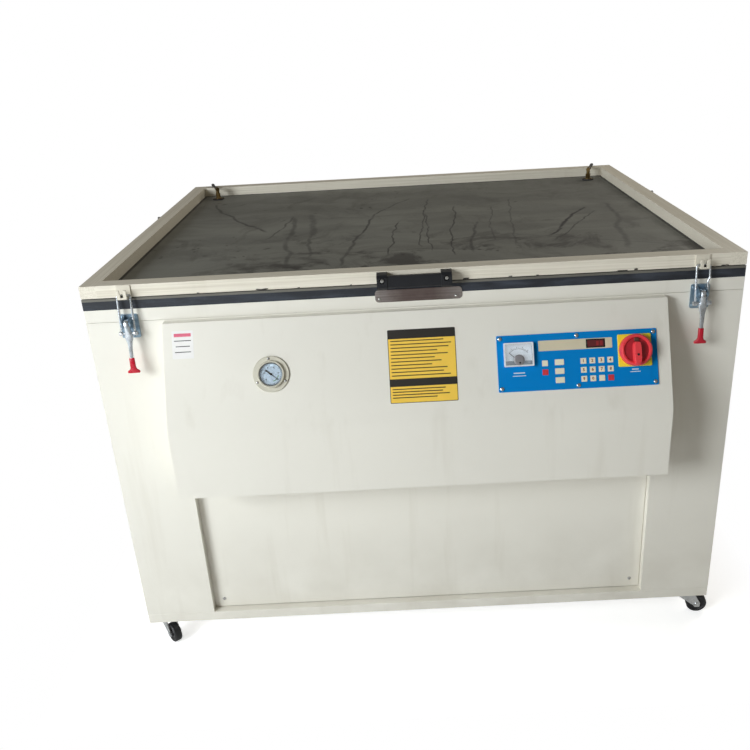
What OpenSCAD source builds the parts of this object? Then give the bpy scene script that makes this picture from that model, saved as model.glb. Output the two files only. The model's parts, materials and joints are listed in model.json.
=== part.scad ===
// Screen printing exposure unit: a steel cabinet on casters with a glass top, a lamp below it,
// a hinged vacuum lid with a rubber blanket, two draw latches and a sloped control console.
// Millimetres. X runs right, Y back, Z up. The origin is on the floor under the middle of the unit.

/* [Cabinet] */
// Width of the cabinet across its side sheets
body_w = 1400; // [1300:10:1700]
// Depth of the cabinet from front sheet to rear sheet
body_d = 1150; // [1050:10:1350]
// Height of the cabinet from its underside to its top rail
cabinet_h = 828; // [800:2:900]
// Thickness of the folded steel sheet
sheet_t = 2; // [1.5:0.1:3]
// Width of the steel tubes of the top, bottom and lid frames
tube_w = 38; // [34:1:46]
// Wall of the steel tubes
tube_wall = 2; // [1.5:0.1:3]
// Height of the top rail
rail_h = 28; // [24:1:36]
// Height of the bottom rail
sill_h = 25; // [20:1:30]
// Width of the folded edges of the side sheets
fold_w = 20; // [16:1:26]

/* [Recess] */
// Width of the recess that holds the access panel
recess_w = 1066; // [900:2:1100]
// Depth of the recess from the front sheet to the access panel
recess_depth = 19; // [15:1:26]
// Width of the landing flange behind the access panel
landing_w = 36; // [32:1:44]
// Distance of the access panel screws from the recess edges
access_screw_in = 25; // [20:1:30]

/* [Console] */
// Width of the console across its ends
console_w = 1066; // [1010:2:1180]
// Distance that the console stands out at its top edge
console_top_reach = 19; // [14:1:26]
// Distance that the console stands out at its lower face
console_reach = 113; // [100:1:130]
// Height of the sloped face, measured upright
slope_h = 216; // [205:1:240]
// Height of the upright apron under the slope
apron_h = 157; // [130:1:180]
// Gap between the top rail and the top of the console
console_gap = 3; // [2:0.5:6]

/* [Glass and seal] */
// Thickness of the glass plate
glass_t = 8; // [6:0.5:12]
// Width of the ledge that carries the glass
ledge_w = 20; // [16:1:26]
// Height of the rubber seal on the cabinet
gasket_h = 19; // [15:1:24]
// Width of the rubber seal
gasket_w = 25; // [18:1:32]

/* [Lid] */
// Height of the lid tubes
lid_h = 27; // [22:1:34]
// Height of the strips that clamp the blanket
strip_h = 5; // [4:0.5:8]
// Thickness of the rubber blanket
blanket_t = 2; // [1.5:0.1:3]
// Opening angle of the lid, used to set out the gas struts
lid_open = 60; // [50:1:65]
// Width of the handle over both posts
handle_w = 156; // [130:1:180]
// Distance that the handle stands out from the lid
handle_reach = 30; // [26:1:40]
// Sideways offset of the handle from the middle
handle_x = 3; // [-10:1:10]
// Width of the steel plate under the handle
guard_w = 184; // [150:1:200]
// Height of the steel plate under the handle
guard_h = 27; // [24:1:30]

/* [Latches] */
// Distance of each latch inward from the middle of the space beside the console
latch_shift = 9.5; // [8:0.5:12]
// Height of the latch pivot below the top of the cabinet
latch_drop = 27; // [25:0.5:30]
// Distance of the latch pivot in front of the cabinet
latch_out = 20; // [18:0.5:22]
// Distance from the latch pivot to the pin that pulls the bar
latch_crank = 21; // [19:0.5:23]
// Radius of the latch bar wire
bar_r = 2.5; // [2:0.1:3]
// Length of the latch lever below its pivot
lever_len = 104; // [90:1:120]

/* [Gauge] */
// Distance of the vacuum gauge from the middle, to the left
gauge_x = 308; // [260:1:340]
// Distance of the gauge and meter centres down the slope
gauge_v = 118; // [100:1:130]
// Radius of the gauge flange
gauge_r = 38.5; // [36:0.5:42]
// Radius of the gauge bezel
bezel_r = 29; // [27:0.5:31]
// Height of the gauge bezel
bezel_h = 9; // [8:0.5:12]
// Angle of the gauge needle at rest, below the right
needle_rest = 38; // [30:1:45]

/* [Control panel] */
// Width of the blue control plate
plate_w = 336; // [330:1:350]
// Height of the blue control plate
plate_h = 119; // [116:1:124]
// Place of the middle of the control plate to the right of the middle
plate_x = 337; // [300:1:345]
// Thickness of the control plate
plate_t = 2; // [1.5:0.1:3]
// Width of the voltmeter face
meter_w = 62; // [58:1:66]
// Height of the voltmeter face
meter_h = 50; // [48:1:54]
// Depth of the voltmeter frame in front of the plate
meter_t = 9; // [8:0.5:12]
// Size of one number key
key_s = 12.5; // [11:0.1:14]
// Distance between two number keys
key_pitch = 18.8; // [18:0.1:20]
// Width of one of the three wide keys
wide_key_w = 19.5; // [18:0.5:20]
// Width of the main switch plate
switch_w = 70; // [68:0.5:72]
// Radius of the main switch knob
knob_r = 33.5; // [31:0.5:34]

/* [Hinges and struts] */
// Distance of each hinge from the middle
hinge_x = 450; // [350:10:520]
// Length of one hinge
hinge_len = 100; // [80:1:140]
// Radius of the hinge knuckle
knuckle_r = 7; // [6:0.1:8]
// Radius of the hinge pin
hinge_pin_r = 4; // [3:0.1:5]
// Distance of the strut bracket on the lid from the front
strut_y = 715; // [650:5:740]
// Height of the lower strut stud below the hinge
strut_drop = 130; // [120:1:160]
// Distance of the lower strut stud in front of the hinge
strut_in = 30; // [20:1:60]
// Radius of the strut cylinder
strut_r = 9; // [8:0.1:10]

/* [Vacuum] */
// Distance of each hose nipple from the side of the cabinet
nipple_side = 93; // [80:1:140]
// Distance of each hose nipple from the rear of the cabinet
nipple_in = 97; // [85:1:140]
// Radius of the vacuum hose
hose_r = 4; // [3.5:0.1:4.5]
// Bend radius of the hose behind the lid
hose_bend = 34; // [30:1:38]
// Height of the rear hose elbows below the top of the cabinet
elbow_drop = 97; // [80:1:140]

/* [Casters] */
// Height from the floor to the underside of the cabinet
caster_h = 69; // [69:1:80]
// Radius of a caster wheel
wheel_r = 25; // [24:0.5:25]
// Width of a caster wheel
wheel_w = 20; // [16:1:22]
// Distance of each caster from the side of the cabinet
caster_in_x = 36; // [35:1:80]
// Distance of each caster from the front or rear of the cabinet
caster_in_y = 36; // [35:1:80]
// Distance from the swivel to the wheel axle
caster_trail = 24; // [16:1:26]

/* [Inside] */
// Height of the lamp above the floor
lamp_z = 330; // [300:5:420]
// Width of the lamp house across its end plates
house_w = 420; // [380:10:520]
// Radius of the reflector
reflector_r = 150; // [130:5:170]
// Size of the cooling fan frame
fan_s = 200; // [180:5:230]
// Height of the fan above the floor
fan_z = 300; // [260:5:420]

/* [Hidden] */
$fn = 48;

// Clearances
weld_gap = 0.1;
panel_gap = 0.5;
seat_gap = 0.1;
run_gap = 0.05;
free_gap = 0.3;
glass_gap = 1;

// Levels
top_z = caster_h + cabinet_h;
rail_z = top_z - rail_h;
sill_z = caster_h + sill_h;
seal_z = top_z + gasket_h;
blanket_z = seal_z + strip_h;
lid_z = blanket_z + blanket_t;
lid_top = lid_z + lid_h;
floor_z = caster_h + sheet_t;
glass_z = top_z - glass_t;

// The rear hose elbows reach furthest back and the console furthest forward
elbow_r = 7;
elbow_out = hose_bend - 8;
rear_reach = elbow_out + elbow_r;
front_y = -(body_d + rear_reach - console_reach) / 2;
rear_y = front_y + body_d;
mid_y = (front_y + rear_y) / 2;

// Console profile
console_z = rail_z - console_gap;
bend_z = console_z - slope_h;
console_bottom = bend_z - apron_h;
slope_a = atan2(console_reach - console_top_reach, slope_h);
slope_y = front_y - console_top_reach;

// Recess and access panel
bridge_h = 26;
recess_top = console_bottom + bridge_h / 2;
access_y = front_y + recess_depth;
access_gap = 2;
vent_in = 56;
vent_h = 240;

// Screws
screw_r = 4.5;
screw_h = 2.5;
screw_shank_r = 2;
screw_len = 8;
gauge_screw_r = 3;
gauge_screw_pcd = 33.5;
gauge_screw_at = [97, 333, 209];

// Hinge line
hinge_y = rear_y + knuckle_r;
hinge_z = (top_z + lid_z) / 2;
leaf_t = 3;
leaf_h = 22;

// Gas strut set out in the plane beside the cabinet
strut_x = body_w / 2 + 13;
strut_upper = [front_y + strut_y, lid_z + lid_h / 2];
strut_lower = [hinge_y - strut_in, hinge_z - strut_drop];
strut_len = norm(strut_upper - strut_lower);
strut_a = atan2(strut_lower[0] - strut_upper[0], strut_upper[1] - strut_lower[1]);
strut_body = 0.69 * strut_len;
strut_rod_r = 4;
strut_eye_r = 7;
strut_eye_w = 8;
bracket_t = 3;
stud_r = 4;

// Latch: pivot, trunnion and crossbar in front of the cabinet
latch_x = (console_w + body_w) / 4 - latch_shift;
pivot_z = top_z - latch_drop;
hook_t = 3;
hook_slot = 13.2;
keeper_t = 2.5;
keeper_w = 30;
hook_w = 20;
lip_h = 9;
hook_z = lid_z;
cross_z = hook_z + hook_t + bar_r + 2 * free_gap;
cross_out = keeper_t + 5.25;
over_centre = 1.5;
trunnion_out = latch_out - over_centre;
trunnion_z = pivot_z - latch_crank;
trunnion_r = 3;
bar_half = 14;
eye_w = 6;
eye_r = 5;
lever_w = 12;
cheek_t = 2.5;
latch_base_w = 40;
latch_base_h = 53;
cheek_in = 7;
grip_len = 28;
grip_w = 11;
tee_w = 27;

// Gauge and meter
dial_r = bezel_r - 4.5;
needle_pin_r = 1;
dial_z = 1;
needle_z = 2.6;
needle_t = 0.8;
meter_x = 213.7;
meter_v = 104;
meter_lip = 3;
meter_pivot = 14;
window_t = 1.5;
meter_rest = 138;

// Control plate
plate_v = 122.5;
plate_screw_in = 7;
film_t = 0.6;
key_rise = 0.5;
keys_x = 348.9;
keys_v = 124.3;
single_keys_x = 268.3;
single_keys_v = 125.2;
wide_keys_x = 298.5;
window_x = 376.3;
window_v = 88.3;
window_w = 37.5;
window_h = 17.5;
film_edge = 15;
board_x = 329;
board_w = 132;
board_h = 54;
switch_x = 457;
switch_v = 107;
knob_low = 0.8;

// Vacuum line
hose_out = 33;
hose_lift = 1.3;
hose_z = lid_top + hose_r + hose_lift;
nipple_x = body_w / 2 - nipple_side;
nipple_y = rear_y - nipple_in;
nipple_r = 18;
elbow_z = top_z - elbow_drop;
hose_end_z = elbow_z + 12;
hose_x = nipple_x + hose_out;
outlet_len = 16;
stem_r = 5;
manifold_r = 8;
manifold_y = rear_y - 60;
pump_x = -400;
pump_r = 75;
pump_lift = 105;
pump_half = 30;
motor_r = 62;
motor_len = 270;
motor_cap = 30;
pump_foot_w = 140;
pump_foot_d = 40;
pump_port_h = 190;
valve_s = 32;
valve_h = 40;
valve_coil_r = 22;

// Casters
caster_turn = [-140, -97, 25, -20];
caster_side = [[-1, -1], [1, -1], [-1, 1], [1, 1]];
caster_plate_s = 62;
caster_plate_t = 2.5;
race_r = 20;
race_h = 8.5;
kingpin_r = 5;
fork_t = 2.5;
fork_gap = 1;
fork_top = caster_h - caster_plate_t - race_h - free_gap;
axle_r = 4;
kingpin_z = fork_top - fork_t - free_gap;

// Ballast beside the lamp house
ballast_x = 400;
ballast_s = [160, 120, 114];

// Lamp tube with its end caps, and the holders they sit in
lamp_inset = 30;
lamp_tube_r = 11;
lamp_cap = 30;
lamp_cap_r = 8;
lamp_end_gap = 0.5;
holder_t = 42;
holder_w = 40;
holder_drop = 22;
reflector_foot = 30;

// Cooling fan behind the lamp house
fan_t = 45;
fan_bore = fan_s / 2 - 8;
fan_hub_r = 36;
fan_hub_t = 28;
fan_axle_len = 30;
fan_y = rear_y - sheet_t - fan_t;
fan_axle_r = 4;
gland_x = 420;
gland_z = caster_h + 75;
gland_bore = 6.5;
gland_r = 10;

// Box from one corner to the opposite corner
module block(low, high) {
    translate(low) cube(high - low);
}

// Plate with round corners, drilled shapes stay true
module round_plate(w, h, t, r) {
    translate([-w / 2 + r, -h / 2, 0]) cube([w - 2 * r, h, t]);
    translate([-w / 2, -h / 2 + r, 0]) cube([w, h - 2 * r, t]);
    for (x = [-w / 2 + r, w / 2 - r], y = [-h / 2 + r, h / 2 - r])
        translate([x, y, 0]) cylinder(h = t, r = r);
}

// Cylinder along X between two places
module rod_x(x0, x1, r) {
    translate([x0, 0, 0]) rotate([0, 90, 0]) cylinder(h = x1 - x0, r = r);
}

// Cylinder along Y between two places
module rod_y(y0, y1, r) {
    translate([0, y0, 0]) rotate([-90, 0, 0]) cylinder(h = y1 - y0, r = r);
}

// Side profile given as [y, z] points, as wide as w, centred on x = 0
module side_profile(w, points) {
    rotate([90, 0, 90]) translate([0, 0, -w / 2]) linear_extrude(w) polygon(points);
}

// Flat strip with mitred ends along X, outer edge on y = 0
module mitred_strip(len, w, h) {
    linear_extrude(h) polygon([
        [-len / 2 + weld_gap, 0], [len / 2 - weld_gap, 0],
        [len / 2 - w - weld_gap, w], [-len / 2 + w + weld_gap, w]
    ]);
}

// Square tube with mitred open ends along X
module mitred_tube(len, w, h, wall) {
    difference() {
        mitred_strip(len, w, h);
        translate([-len / 2, wall, wall]) cube([len, w - 2 * wall, h - 2 * wall]);
    }
}

// Four sides of a rectangle: child 0 runs along X, child 1 along Y, each with its outer edge on y = 0
module four_sides(w, d) {
    translate([0, mid_y, 0]) for (a = [0, 180]) rotate(a) translate([0, -d / 2, 0]) children(0);
    translate([0, mid_y, 0]) for (a = [90, 270]) rotate(a) translate([0, -w / 2, 0]) children(1);
}

// Local frame on the sloped face: X right, Y up the slope, Z out of it
module on_slope(x, v) {
    translate([x, slope_y, console_z]) rotate([90 - slope_a, 0, 0]) translate([0, -v, 0]) children();
}

// Pan head screw with its shank, head on z = 0
module screw(head_r, head_h, shank_r, len) {
    cylinder(h = head_h, r1 = head_r, r2 = 0.72 * head_r);
    translate([0, 0, -len]) cylinder(h = len, r = shank_r);
}

// Places of the screws
function access_screws() = [
    for (x = [-1, 1], z = [sill_z + access_screw_in, recess_top - access_screw_in])
        [x * (recess_w / 2 - access_screw_in), z]
];
function plate_screws() = [
    for (x = [-1, 0, 1], v = [-1, 1])
        [plate_x + x * (plate_w / 2 - plate_screw_in), plate_v + v * (plate_h / 2 - plate_screw_in)]
];

// Cabinet shell

module base_frame() {
    color("ivory") {
        translate([0, 0, caster_h]) four_sides(body_w, body_d) {
            mitred_tube(body_w, tube_w, sill_h, tube_wall);
            mitred_tube(body_d, tube_w, sill_h, tube_wall);
        }
        inner_x = body_w / 2 - tube_w - weld_gap;
        block([-inner_x, front_y + tube_w + weld_gap, caster_h],
              [inner_x, rear_y - tube_w - weld_gap, floor_z]);
    }
}

module side_panels() {
    low = sill_z + panel_gap;
    high = rail_z - panel_gap;
    edge = sheet_t + weld_gap;
    y0 = front_y + edge;
    y1 = rear_y - edge;
    color("ivory") for (s = [0, 1]) mirror([s, 0, 0]) {
        difference() {
            block([body_w / 2 - fold_w, y0, low], [body_w / 2, y1, high]);
            block([body_w / 2 - fold_w - 1, y0 + sheet_t, low - 1],
                  [body_w / 2 - sheet_t, y1 - sheet_t, high + 1]);
        }
        translate([body_w / 2, strut_lower[0], strut_lower[1]]) {
            rotate([0, 90, 0]) round_plate(40, 30, bracket_t, 6);
            rod_x(0, strut_x - body_w / 2 + strut_eye_w / 2 + free_gap, stud_r);
            translate([strut_x - body_w / 2 + strut_eye_w / 2 + free_gap, 0, 0]) rod_x(0, 2, 6);
        }
    }
}

module rear_panel() {
    color("ivory") difference() {
        block([-body_w / 2, rear_y - sheet_t, sill_z + panel_gap],
              [body_w / 2, rear_y, rail_z - panel_gap]);
        for (i = [-5 : 5]) {
            half = sqrt(pow(fan_bore, 2) - pow(i * 16, 2));
            block([-half, rear_y - sheet_t - 1, fan_z + i * 16 - 4],
                  [half, rear_y + 1, fan_z + i * 16 + 4]);
        }
        for (x = [-hose_x, hose_x])
            translate([x, 0, elbow_z]) rod_y(rear_y - sheet_t - 1, rear_y + 1, stem_r + seat_gap);
        translate([gland_x, 0, gland_z]) rod_y(rear_y - sheet_t - 1, rear_y + 1, gland_r + seat_gap);
    }
}

module front_fascia() {
    half = recess_w / 2;
    back = access_y + sheet_t;
    color("ivory") {
        difference() {
            block([-body_w / 2, front_y, sill_z + panel_gap],
                  [body_w / 2, front_y + sheet_t, rail_z - panel_gap]);
            block([-half, front_y - 1, sill_z], [half, back, recess_top]);
            block([-console_w / 2 + vent_in, front_y - 1, bend_z - 60],
                  [console_w / 2 - vent_in, back, bend_z - 60 + vent_h]);
        }
        for (s = [0, 1]) mirror([s, 0, 0])
            block([half, front_y, sill_z + panel_gap], [half + sheet_t, back, recess_top + sheet_t]);
        difference() {
            for (s = [0, 1]) mirror([s, 0, 0])
                block([half - landing_w, back, sill_z + panel_gap],
                      [half + sheet_t, back + sheet_t, recess_top + sheet_t]);
            access_holes(back - 1, back + sheet_t + 1);
        }
        block([-half, front_y, recess_top], [half, back, recess_top + sheet_t]);
        block([-half + landing_w, back, recess_top - landing_w],
              [half - landing_w, back + sheet_t, recess_top + sheet_t]);
    }
}

// Holes of the access panel screws between two places along Y
module access_holes(y0, y1) {
    for (p = access_screws()) translate([p[0], 0, p[1]]) rod_y(y0, y1, screw_shank_r + seat_gap);
}

module access_panel() {
    half = recess_w / 2 - access_gap;
    color("ivory") difference() {
        block([-half, access_y, sill_z + access_gap], [half, access_y + sheet_t, recess_top - access_gap]);
        access_holes(access_y - 1, access_y + sheet_t + 1);
    }
}

module top_frame() {
    color("ivory") translate([0, 0, rail_z]) four_sides(body_w, body_d) {
        ledged_tube(body_w);
        ledged_tube(body_d);
    }
}

// Top rail tube with the ledge for the glass on its inner side
module ledged_tube(len) {
    ledge_len = len - 2 * tube_w;
    mitred_tube(len, tube_w, rail_h, tube_wall);
    translate([0, tube_w, rail_h - glass_t - sheet_t]) mitred_strip(ledge_len, ledge_w, sheet_t);
}

module console_cover() {
    reach = console_reach - sheet_t;
    inner_top = console_top_reach - sheet_t * (1 / cos(slope_a) - tan(slope_a));
    outer = [
        [front_y, console_z], [slope_y, console_z], [front_y - console_reach, bend_z],
        [front_y - console_reach, console_bottom], [front_y, console_bottom]
    ];
    inner = [
        [front_y + 1, console_z - sheet_t], [front_y - inner_top, console_z - sheet_t],
        [front_y - reach, bend_z - sheet_t * tan(slope_a / 2)],
        [front_y - reach, console_bottom + sheet_t], [front_y + 1, console_bottom + sheet_t]
    ];
    color("ivory") difference() {
        side_profile(console_w, outer);
        side_profile(console_w - 2 * sheet_t, inner);
        on_slope(-gauge_x, gauge_v) translate([0, 0, -5]) cylinder(h = 10, r = gauge_can_r() + 0.5);
        on_slope(meter_x, meter_v) translate([0, 0, -5]) cylinder(h = 10, r = meter_can_r() + 0.5);
        on_slope(switch_x, switch_v) translate([0, 0, -5]) cylinder(h = 10, r = 26);
        on_slope(board_x, plate_v) translate([-board_w / 2 - 4, -board_h / 2 - 3, -5])
            cube([board_w + 8, board_h + 6, 10]);
        for (p = plate_screws())
            on_slope(p[0], p[1]) translate([0, 0, -5]) cylinder(h = 10, r = screw_shank_r + seat_gap);
        for (a = gauge_screw_at)
            on_slope(-gauge_x, gauge_v) rotate(a) translate([gauge_screw_pcd, 0, -5])
                cylinder(h = 10, r = screw_shank_r - 0.5 + seat_gap);
    }
}

function gauge_can_r() = bezel_r - 2;
function meter_can_r() = 19;

module panel_screws() {
    color("silver") {
        for (p = access_screws())
            translate([p[0], access_y, p[1]]) rotate([90, 0, 0])
                screw(screw_r, screw_h, screw_shank_r, screw_len);
        for (p = plate_screws())
            on_slope(p[0], p[1]) translate([0, 0, plate_t])
                screw(screw_r, screw_h, screw_shank_r, screw_len);
        for (a = gauge_screw_at)
            on_slope(-gauge_x, gauge_v) rotate(a) translate([gauge_screw_pcd, 0, 3])
                screw(gauge_screw_r, 2, screw_shank_r - 0.5, screw_len);
    }
}

// Glass, seal and guard plate

module glass_plate() {
    half = body_w / 2 - tube_w - glass_gap;
    color("lightcyan") block([-half, front_y + tube_w + glass_gap, glass_z],
                             [half, rear_y - tube_w - glass_gap, top_z]);
}

module gasket() {
    color("#2d323e") translate([0, 0, top_z]) four_sides(body_w, body_d) {
        mitred_strip(body_w, gasket_w, gasket_h);
        mitred_strip(body_d, gasket_w, gasket_h);
    }
}

module guard_plate() {
    guard_x = handle_x + 8;
    guard_z = top_z - 15;
    color("rosybrown") translate([guard_x, front_y, guard_z + guard_h / 2]) {
        rotate([90, 0, 0]) round_plate(guard_w, guard_h, 1.5, 8);
        for (x = [-1, 1]) translate([x * (guard_w / 2 - 9), -1.5, 7 - guard_h / 2])
            rotate([90, 0, 0]) cylinder(h = 1.2, r1 = 3, r2 = 2);
    }
}

// Latches: each module draws one latch around x = 0, in front of the cabinet

module at_latch(s) {
    translate([s * latch_x, front_y, 0]) children();
}

module latch_bases() {
    color("#8caab9") for (s = [-1, 1]) at_latch(s) {
        translate([0, 0, pivot_z - 10.5]) rotate([90, 0, 0]) difference() {
            round_plate(latch_base_w, latch_base_h, cheek_t, 4);
            for (x = [-1, 1] * (latch_base_w / 2 - 6), y = [-1, 1] * (latch_base_h / 2 - 7.5))
                translate([x, y, -1]) cylinder(h = cheek_t + 2, r = 2.2);
        }
        for (x = [-1, 1]) translate([x * (cheek_in + cheek_t / 2), 0, 0]) side_profile(cheek_t, [
            [-cheek_t, pivot_z + 14], [-latch_out, pivot_z + 9], [-latch_out - 6, pivot_z + 4],
            [-latch_out - 6, pivot_z - 4], [-latch_out, pivot_z - 9], [-cheek_t, pivot_z - 13]
        ]);
        translate([0, -latch_out, pivot_z]) {
            rod_x(-cheek_in - cheek_t, cheek_in + cheek_t, trunnion_r);
            rod_x(-cheek_in - cheek_t - 1.2, -cheek_in - cheek_t, trunnion_r + 1.5);
            rod_x(cheek_in + cheek_t, cheek_in + cheek_t + 1.2, trunnion_r + 1.5);
        }
    }
}

module latch_lever(s) {
    neck_z = pivot_z - latch_crank - 22;
    grip_z = pivot_z - lever_len + grip_len;
    at_latch(s) {
        color("silver") difference() {
            union() {
                side_profile(lever_w, [
                    [-latch_out + 6, pivot_z + 5], [-latch_out + 1, pivot_z + 8],
                    [-latch_out - 5, pivot_z + 7], [-latch_out - 8, pivot_z],
                    [-latch_out - 8, neck_z + 8], [-latch_out - 6, neck_z],
                    [-latch_out - 1, neck_z], [-trunnion_out + 5.5, trunnion_z - 5],
                    [-trunnion_out + 6, trunnion_z + 4]
                ]);
                side_profile(8, [
                    [-latch_out - 6, neck_z + 1], [-latch_out - 11, grip_z - 3],
                    [-latch_out - 7, grip_z - 3], [-latch_out - 1, neck_z + 1]
                ]);
            }
            translate([0, -latch_out, pivot_z]) rod_x(-lever_w, lever_w, trunnion_r + run_gap);
            translate([0, -trunnion_out, trunnion_z]) rod_x(-lever_w, lever_w, trunnion_r + run_gap);
        }
        color("crimson") translate([0, -latch_out - 9, pivot_z - lever_len]) {
            lever_grip();
            rod_x(-tee_w / 2, tee_w / 2, 3.5);
        }
    }
}

// Red sleeve on the lever, a flat bar with round edges
module lever_grip() {
    for (x = [-1, 1]) translate([x * (grip_w / 2 - 4), 0, 0]) cylinder(h = grip_len, r = 4);
    translate([-grip_w / 2 + 4, -4, 0]) cube([grip_w - 8, 8, grip_len]);
}

module latch_trunnion(s) {
    half = bar_half + eye_w / 2 + free_gap;
    color("lightsteelblue") at_latch(s) translate([0, -trunnion_out, trunnion_z]) {
        rod_x(-half, half, trunnion_r);
        rod_x(-half - 1.5, -half, trunnion_r + 1.5);
        rod_x(half, half + 1.5, trunnion_r + 1.5);
    }
}

module latch_bar(s) {
    low = [-trunnion_out, trunnion_z];
    high = [-cross_out, cross_z];
    lean = atan2(low[0] - high[0], high[1] - low[1]);
    reach = norm(high - low);
    color("lavender") at_latch(s) {
        translate([0, low[0], low[1]]) {
            difference() {
                for (x = [-1, 1]) translate([x * bar_half, 0, 0]) {
                    rod_x(-eye_w / 2, eye_w / 2, eye_r);
                    rotate([lean, 0, 0]) cylinder(h = reach, r = bar_r);
                }
                rod_x(-20, 20, trunnion_r + run_gap);
            }
        }
        translate([0, high[0], high[1]]) rod_x(-bar_half - bar_r, bar_half + bar_r, bar_r);
    }
}

module latch_keepers() {
    lip_out = keeper_t + hook_slot + hook_t;
    color("seashell") for (s = [-1, 1]) at_latch(s) difference() {
        union() {
            side_profile(hook_w, [
                [0, hook_z], [-lip_out, hook_z], [-lip_out, hook_z + hook_t + lip_h],
                [-lip_out + hook_t, hook_z + hook_t + lip_h], [-lip_out + hook_t, hook_z + hook_t],
                [-keeper_t, hook_z + hook_t], [-keeper_t, lid_top - 1], [0, lid_top - 1]
            ]);
            block([-keeper_w / 2, -keeper_t, hook_z + 1], [keeper_w / 2, 0, lid_top - 1]);
        }
        block([-3, -lip_out - 1, hook_z + hook_t + 1], [3, -lip_out + hook_t + 1, lid_top]);
    }
}

// Hinges on the rear

module knuckle(x0, x1) {
    translate([0, hinge_y, hinge_z]) rod_x(x0, x1, knuckle_r);
}

module hinge_cabinet_leaves() {
    third = hinge_len / 3;
    color("gainsboro") for (x = [-hinge_x, hinge_x]) translate([x, 0, 0]) {
        difference() {
            union() {
                knuckle(-hinge_len / 2, -hinge_len / 2 + third);
                knuckle(hinge_len / 2 - third, hinge_len / 2);
                for (x0 = [-hinge_len / 2, hinge_len / 2 - third])
                    block([x0, rear_y, top_z - leaf_h], [x0 + third, rear_y + leaf_t, hinge_z]);
                block([-hinge_len / 2, rear_y, top_z - leaf_h], [hinge_len / 2, rear_y + leaf_t, top_z - 1]);
            }
            translate([0, hinge_y, hinge_z])
                rod_x(-hinge_len, hinge_len, hinge_pin_r + run_gap);
        }
        translate([0, hinge_y, hinge_z]) {
            rod_x(-hinge_len / 2 - 1, hinge_len / 2 + 1, hinge_pin_r);
            for (x1 = [-hinge_len / 2 - 3, hinge_len / 2 + 1]) translate([x1, 0, 0]) rod_x(0, 2, 5.5);
        }
    }
}

module hinge_lid_leaves() {
    half = hinge_len / 6 - free_gap;
    color("gainsboro") for (x = [-hinge_x, hinge_x]) translate([x, 0, 0]) difference() {
        union() {
            knuckle(-half, half);
            block([-half, rear_y, hinge_z], [half, rear_y + leaf_t, lid_z + leaf_h]);
            block([-hinge_len / 2, rear_y, lid_z + 1], [hinge_len / 2, rear_y + leaf_t, lid_z + leaf_h]);
        }
        translate([0, hinge_y, hinge_z]) rod_x(-hinge_len, hinge_len, hinge_pin_r + run_gap);
    }
}

// Lid

module lid_frame() {
    color("ivory") {
        translate([0, 0, lid_z]) four_sides(body_w, body_d) {
            mitred_tube(body_w, tube_w, lid_h, tube_wall);
            mitred_tube(body_d, tube_w, lid_h, tube_wall);
        }
        for (s = [0, 1]) mirror([s, 0, 0]) translate([body_w / 2, strut_upper[0], strut_upper[1]])
            rotate([0, 90, 0]) round_plate(lid_h - 4, 44, bracket_t, 5);
    }
}

module rubber_blanket() {
    edge = 4;
    color("dimgray") difference() {
        block([-body_w / 2 + edge, front_y + edge, blanket_z], [body_w / 2 - edge, rear_y - edge, lid_z]);
        for (x = [-nipple_x, nipple_x]) translate([x, nipple_y, blanket_z - 1])
            cylinder(h = blanket_t + 2, r = stem_r + seat_gap);
    }
}

module blanket_strips() {
    color("gray") translate([0, 0, seal_z]) four_sides(body_w, body_d) {
        mitred_strip(body_w, tube_w, strip_h);
        mitred_strip(body_d, tube_w, strip_h);
    }
}

module lid_handle() {
    post_w = 22;
    low = lid_top - 33;
    high = lid_top - 2;
    half = handle_w / 2;
    color("#20242c") translate([handle_x, front_y, 0]) difference() {
        union() {
            for (s = [0, 1]) mirror([s, 0, 0]) translate([half - post_w / 2, 0, 0])
                side_profile(post_w, [
                    [0, high], [-handle_reach + 5, high], [-handle_reach, high - 5],
                    [-handle_reach, low + 4], [-handle_reach + 4, low], [-8, low], [0, lid_z]
                ]);
            side_profile(handle_w - 2 * post_w + 2, [
                [-handle_reach + 16, high - 6], [-handle_reach + 14, high - 3],
                [-handle_reach + 4, high - 3], [-handle_reach + 2, high - 6],
                [-handle_reach + 2, low + 5], [-handle_reach + 4, low + 3],
                [-handle_reach + 14, low + 3], [-handle_reach + 16, low + 5]
            ]);
        }
        for (x = [-1, 1]) translate([x * (half - post_w / 2), 0, lid_z + lid_h / 2]) {
            rod_y(-handle_reach - 1, -handle_reach + 7, 6);
            rod_y(-handle_reach, 1, 3 + seat_gap);
        }
    }
    color("silver") for (x = [-1, 1])
        translate([handle_x + x * (half - post_w / 2), front_y, lid_z + lid_h / 2]) {
            rod_y(-handle_reach + 3, -handle_reach + 7 - seat_gap, 4.5);
            rod_y(-handle_reach + 7 - seat_gap, 0, 3);
        }
}

// Vacuum line

// Direction in which the hose leaves a nipple
function outlet_dir(s) = let (d = [s * hose_out, nipple_in - 8]) d / norm(d);

module hose_nipples() {
    for (s = [-1, 1]) translate([s * nipple_x, nipple_y, 0]) {
        color("#20242c") difference() {
            union() {
                translate([0, 0, lid_z]) cylinder(h = 3, r = nipple_r);
                translate([0, 0, blanket_z - 3]) cylinder(h = 3, r = nipple_r - 4);
            }
            translate([0, 0, blanket_z - 4]) cylinder(h = 20, r = stem_r + seat_gap);
        }
        color("goldenrod") {
            translate([0, 0, blanket_z - 3]) cylinder(h = lid_z - blanket_z + 6.1, r = stem_r);
            translate([0, 0, lid_z + 3.1]) cylinder(h = 2, r = 12);
            translate([0, 0, lid_z + 5.1]) cylinder(h = 14, r = 7.5, $fn = 6);
            translate([0, 0, lid_z + 19.1]) cylinder(h = hose_z - lid_z - 19.1, r = 5.5);
            translate([0, 0, hose_z]) rotate(atan2(outlet_dir(s)[1], outlet_dir(s)[0]))
                rod_x(-6, outlet_len, 6);
        }
    }
}

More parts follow.
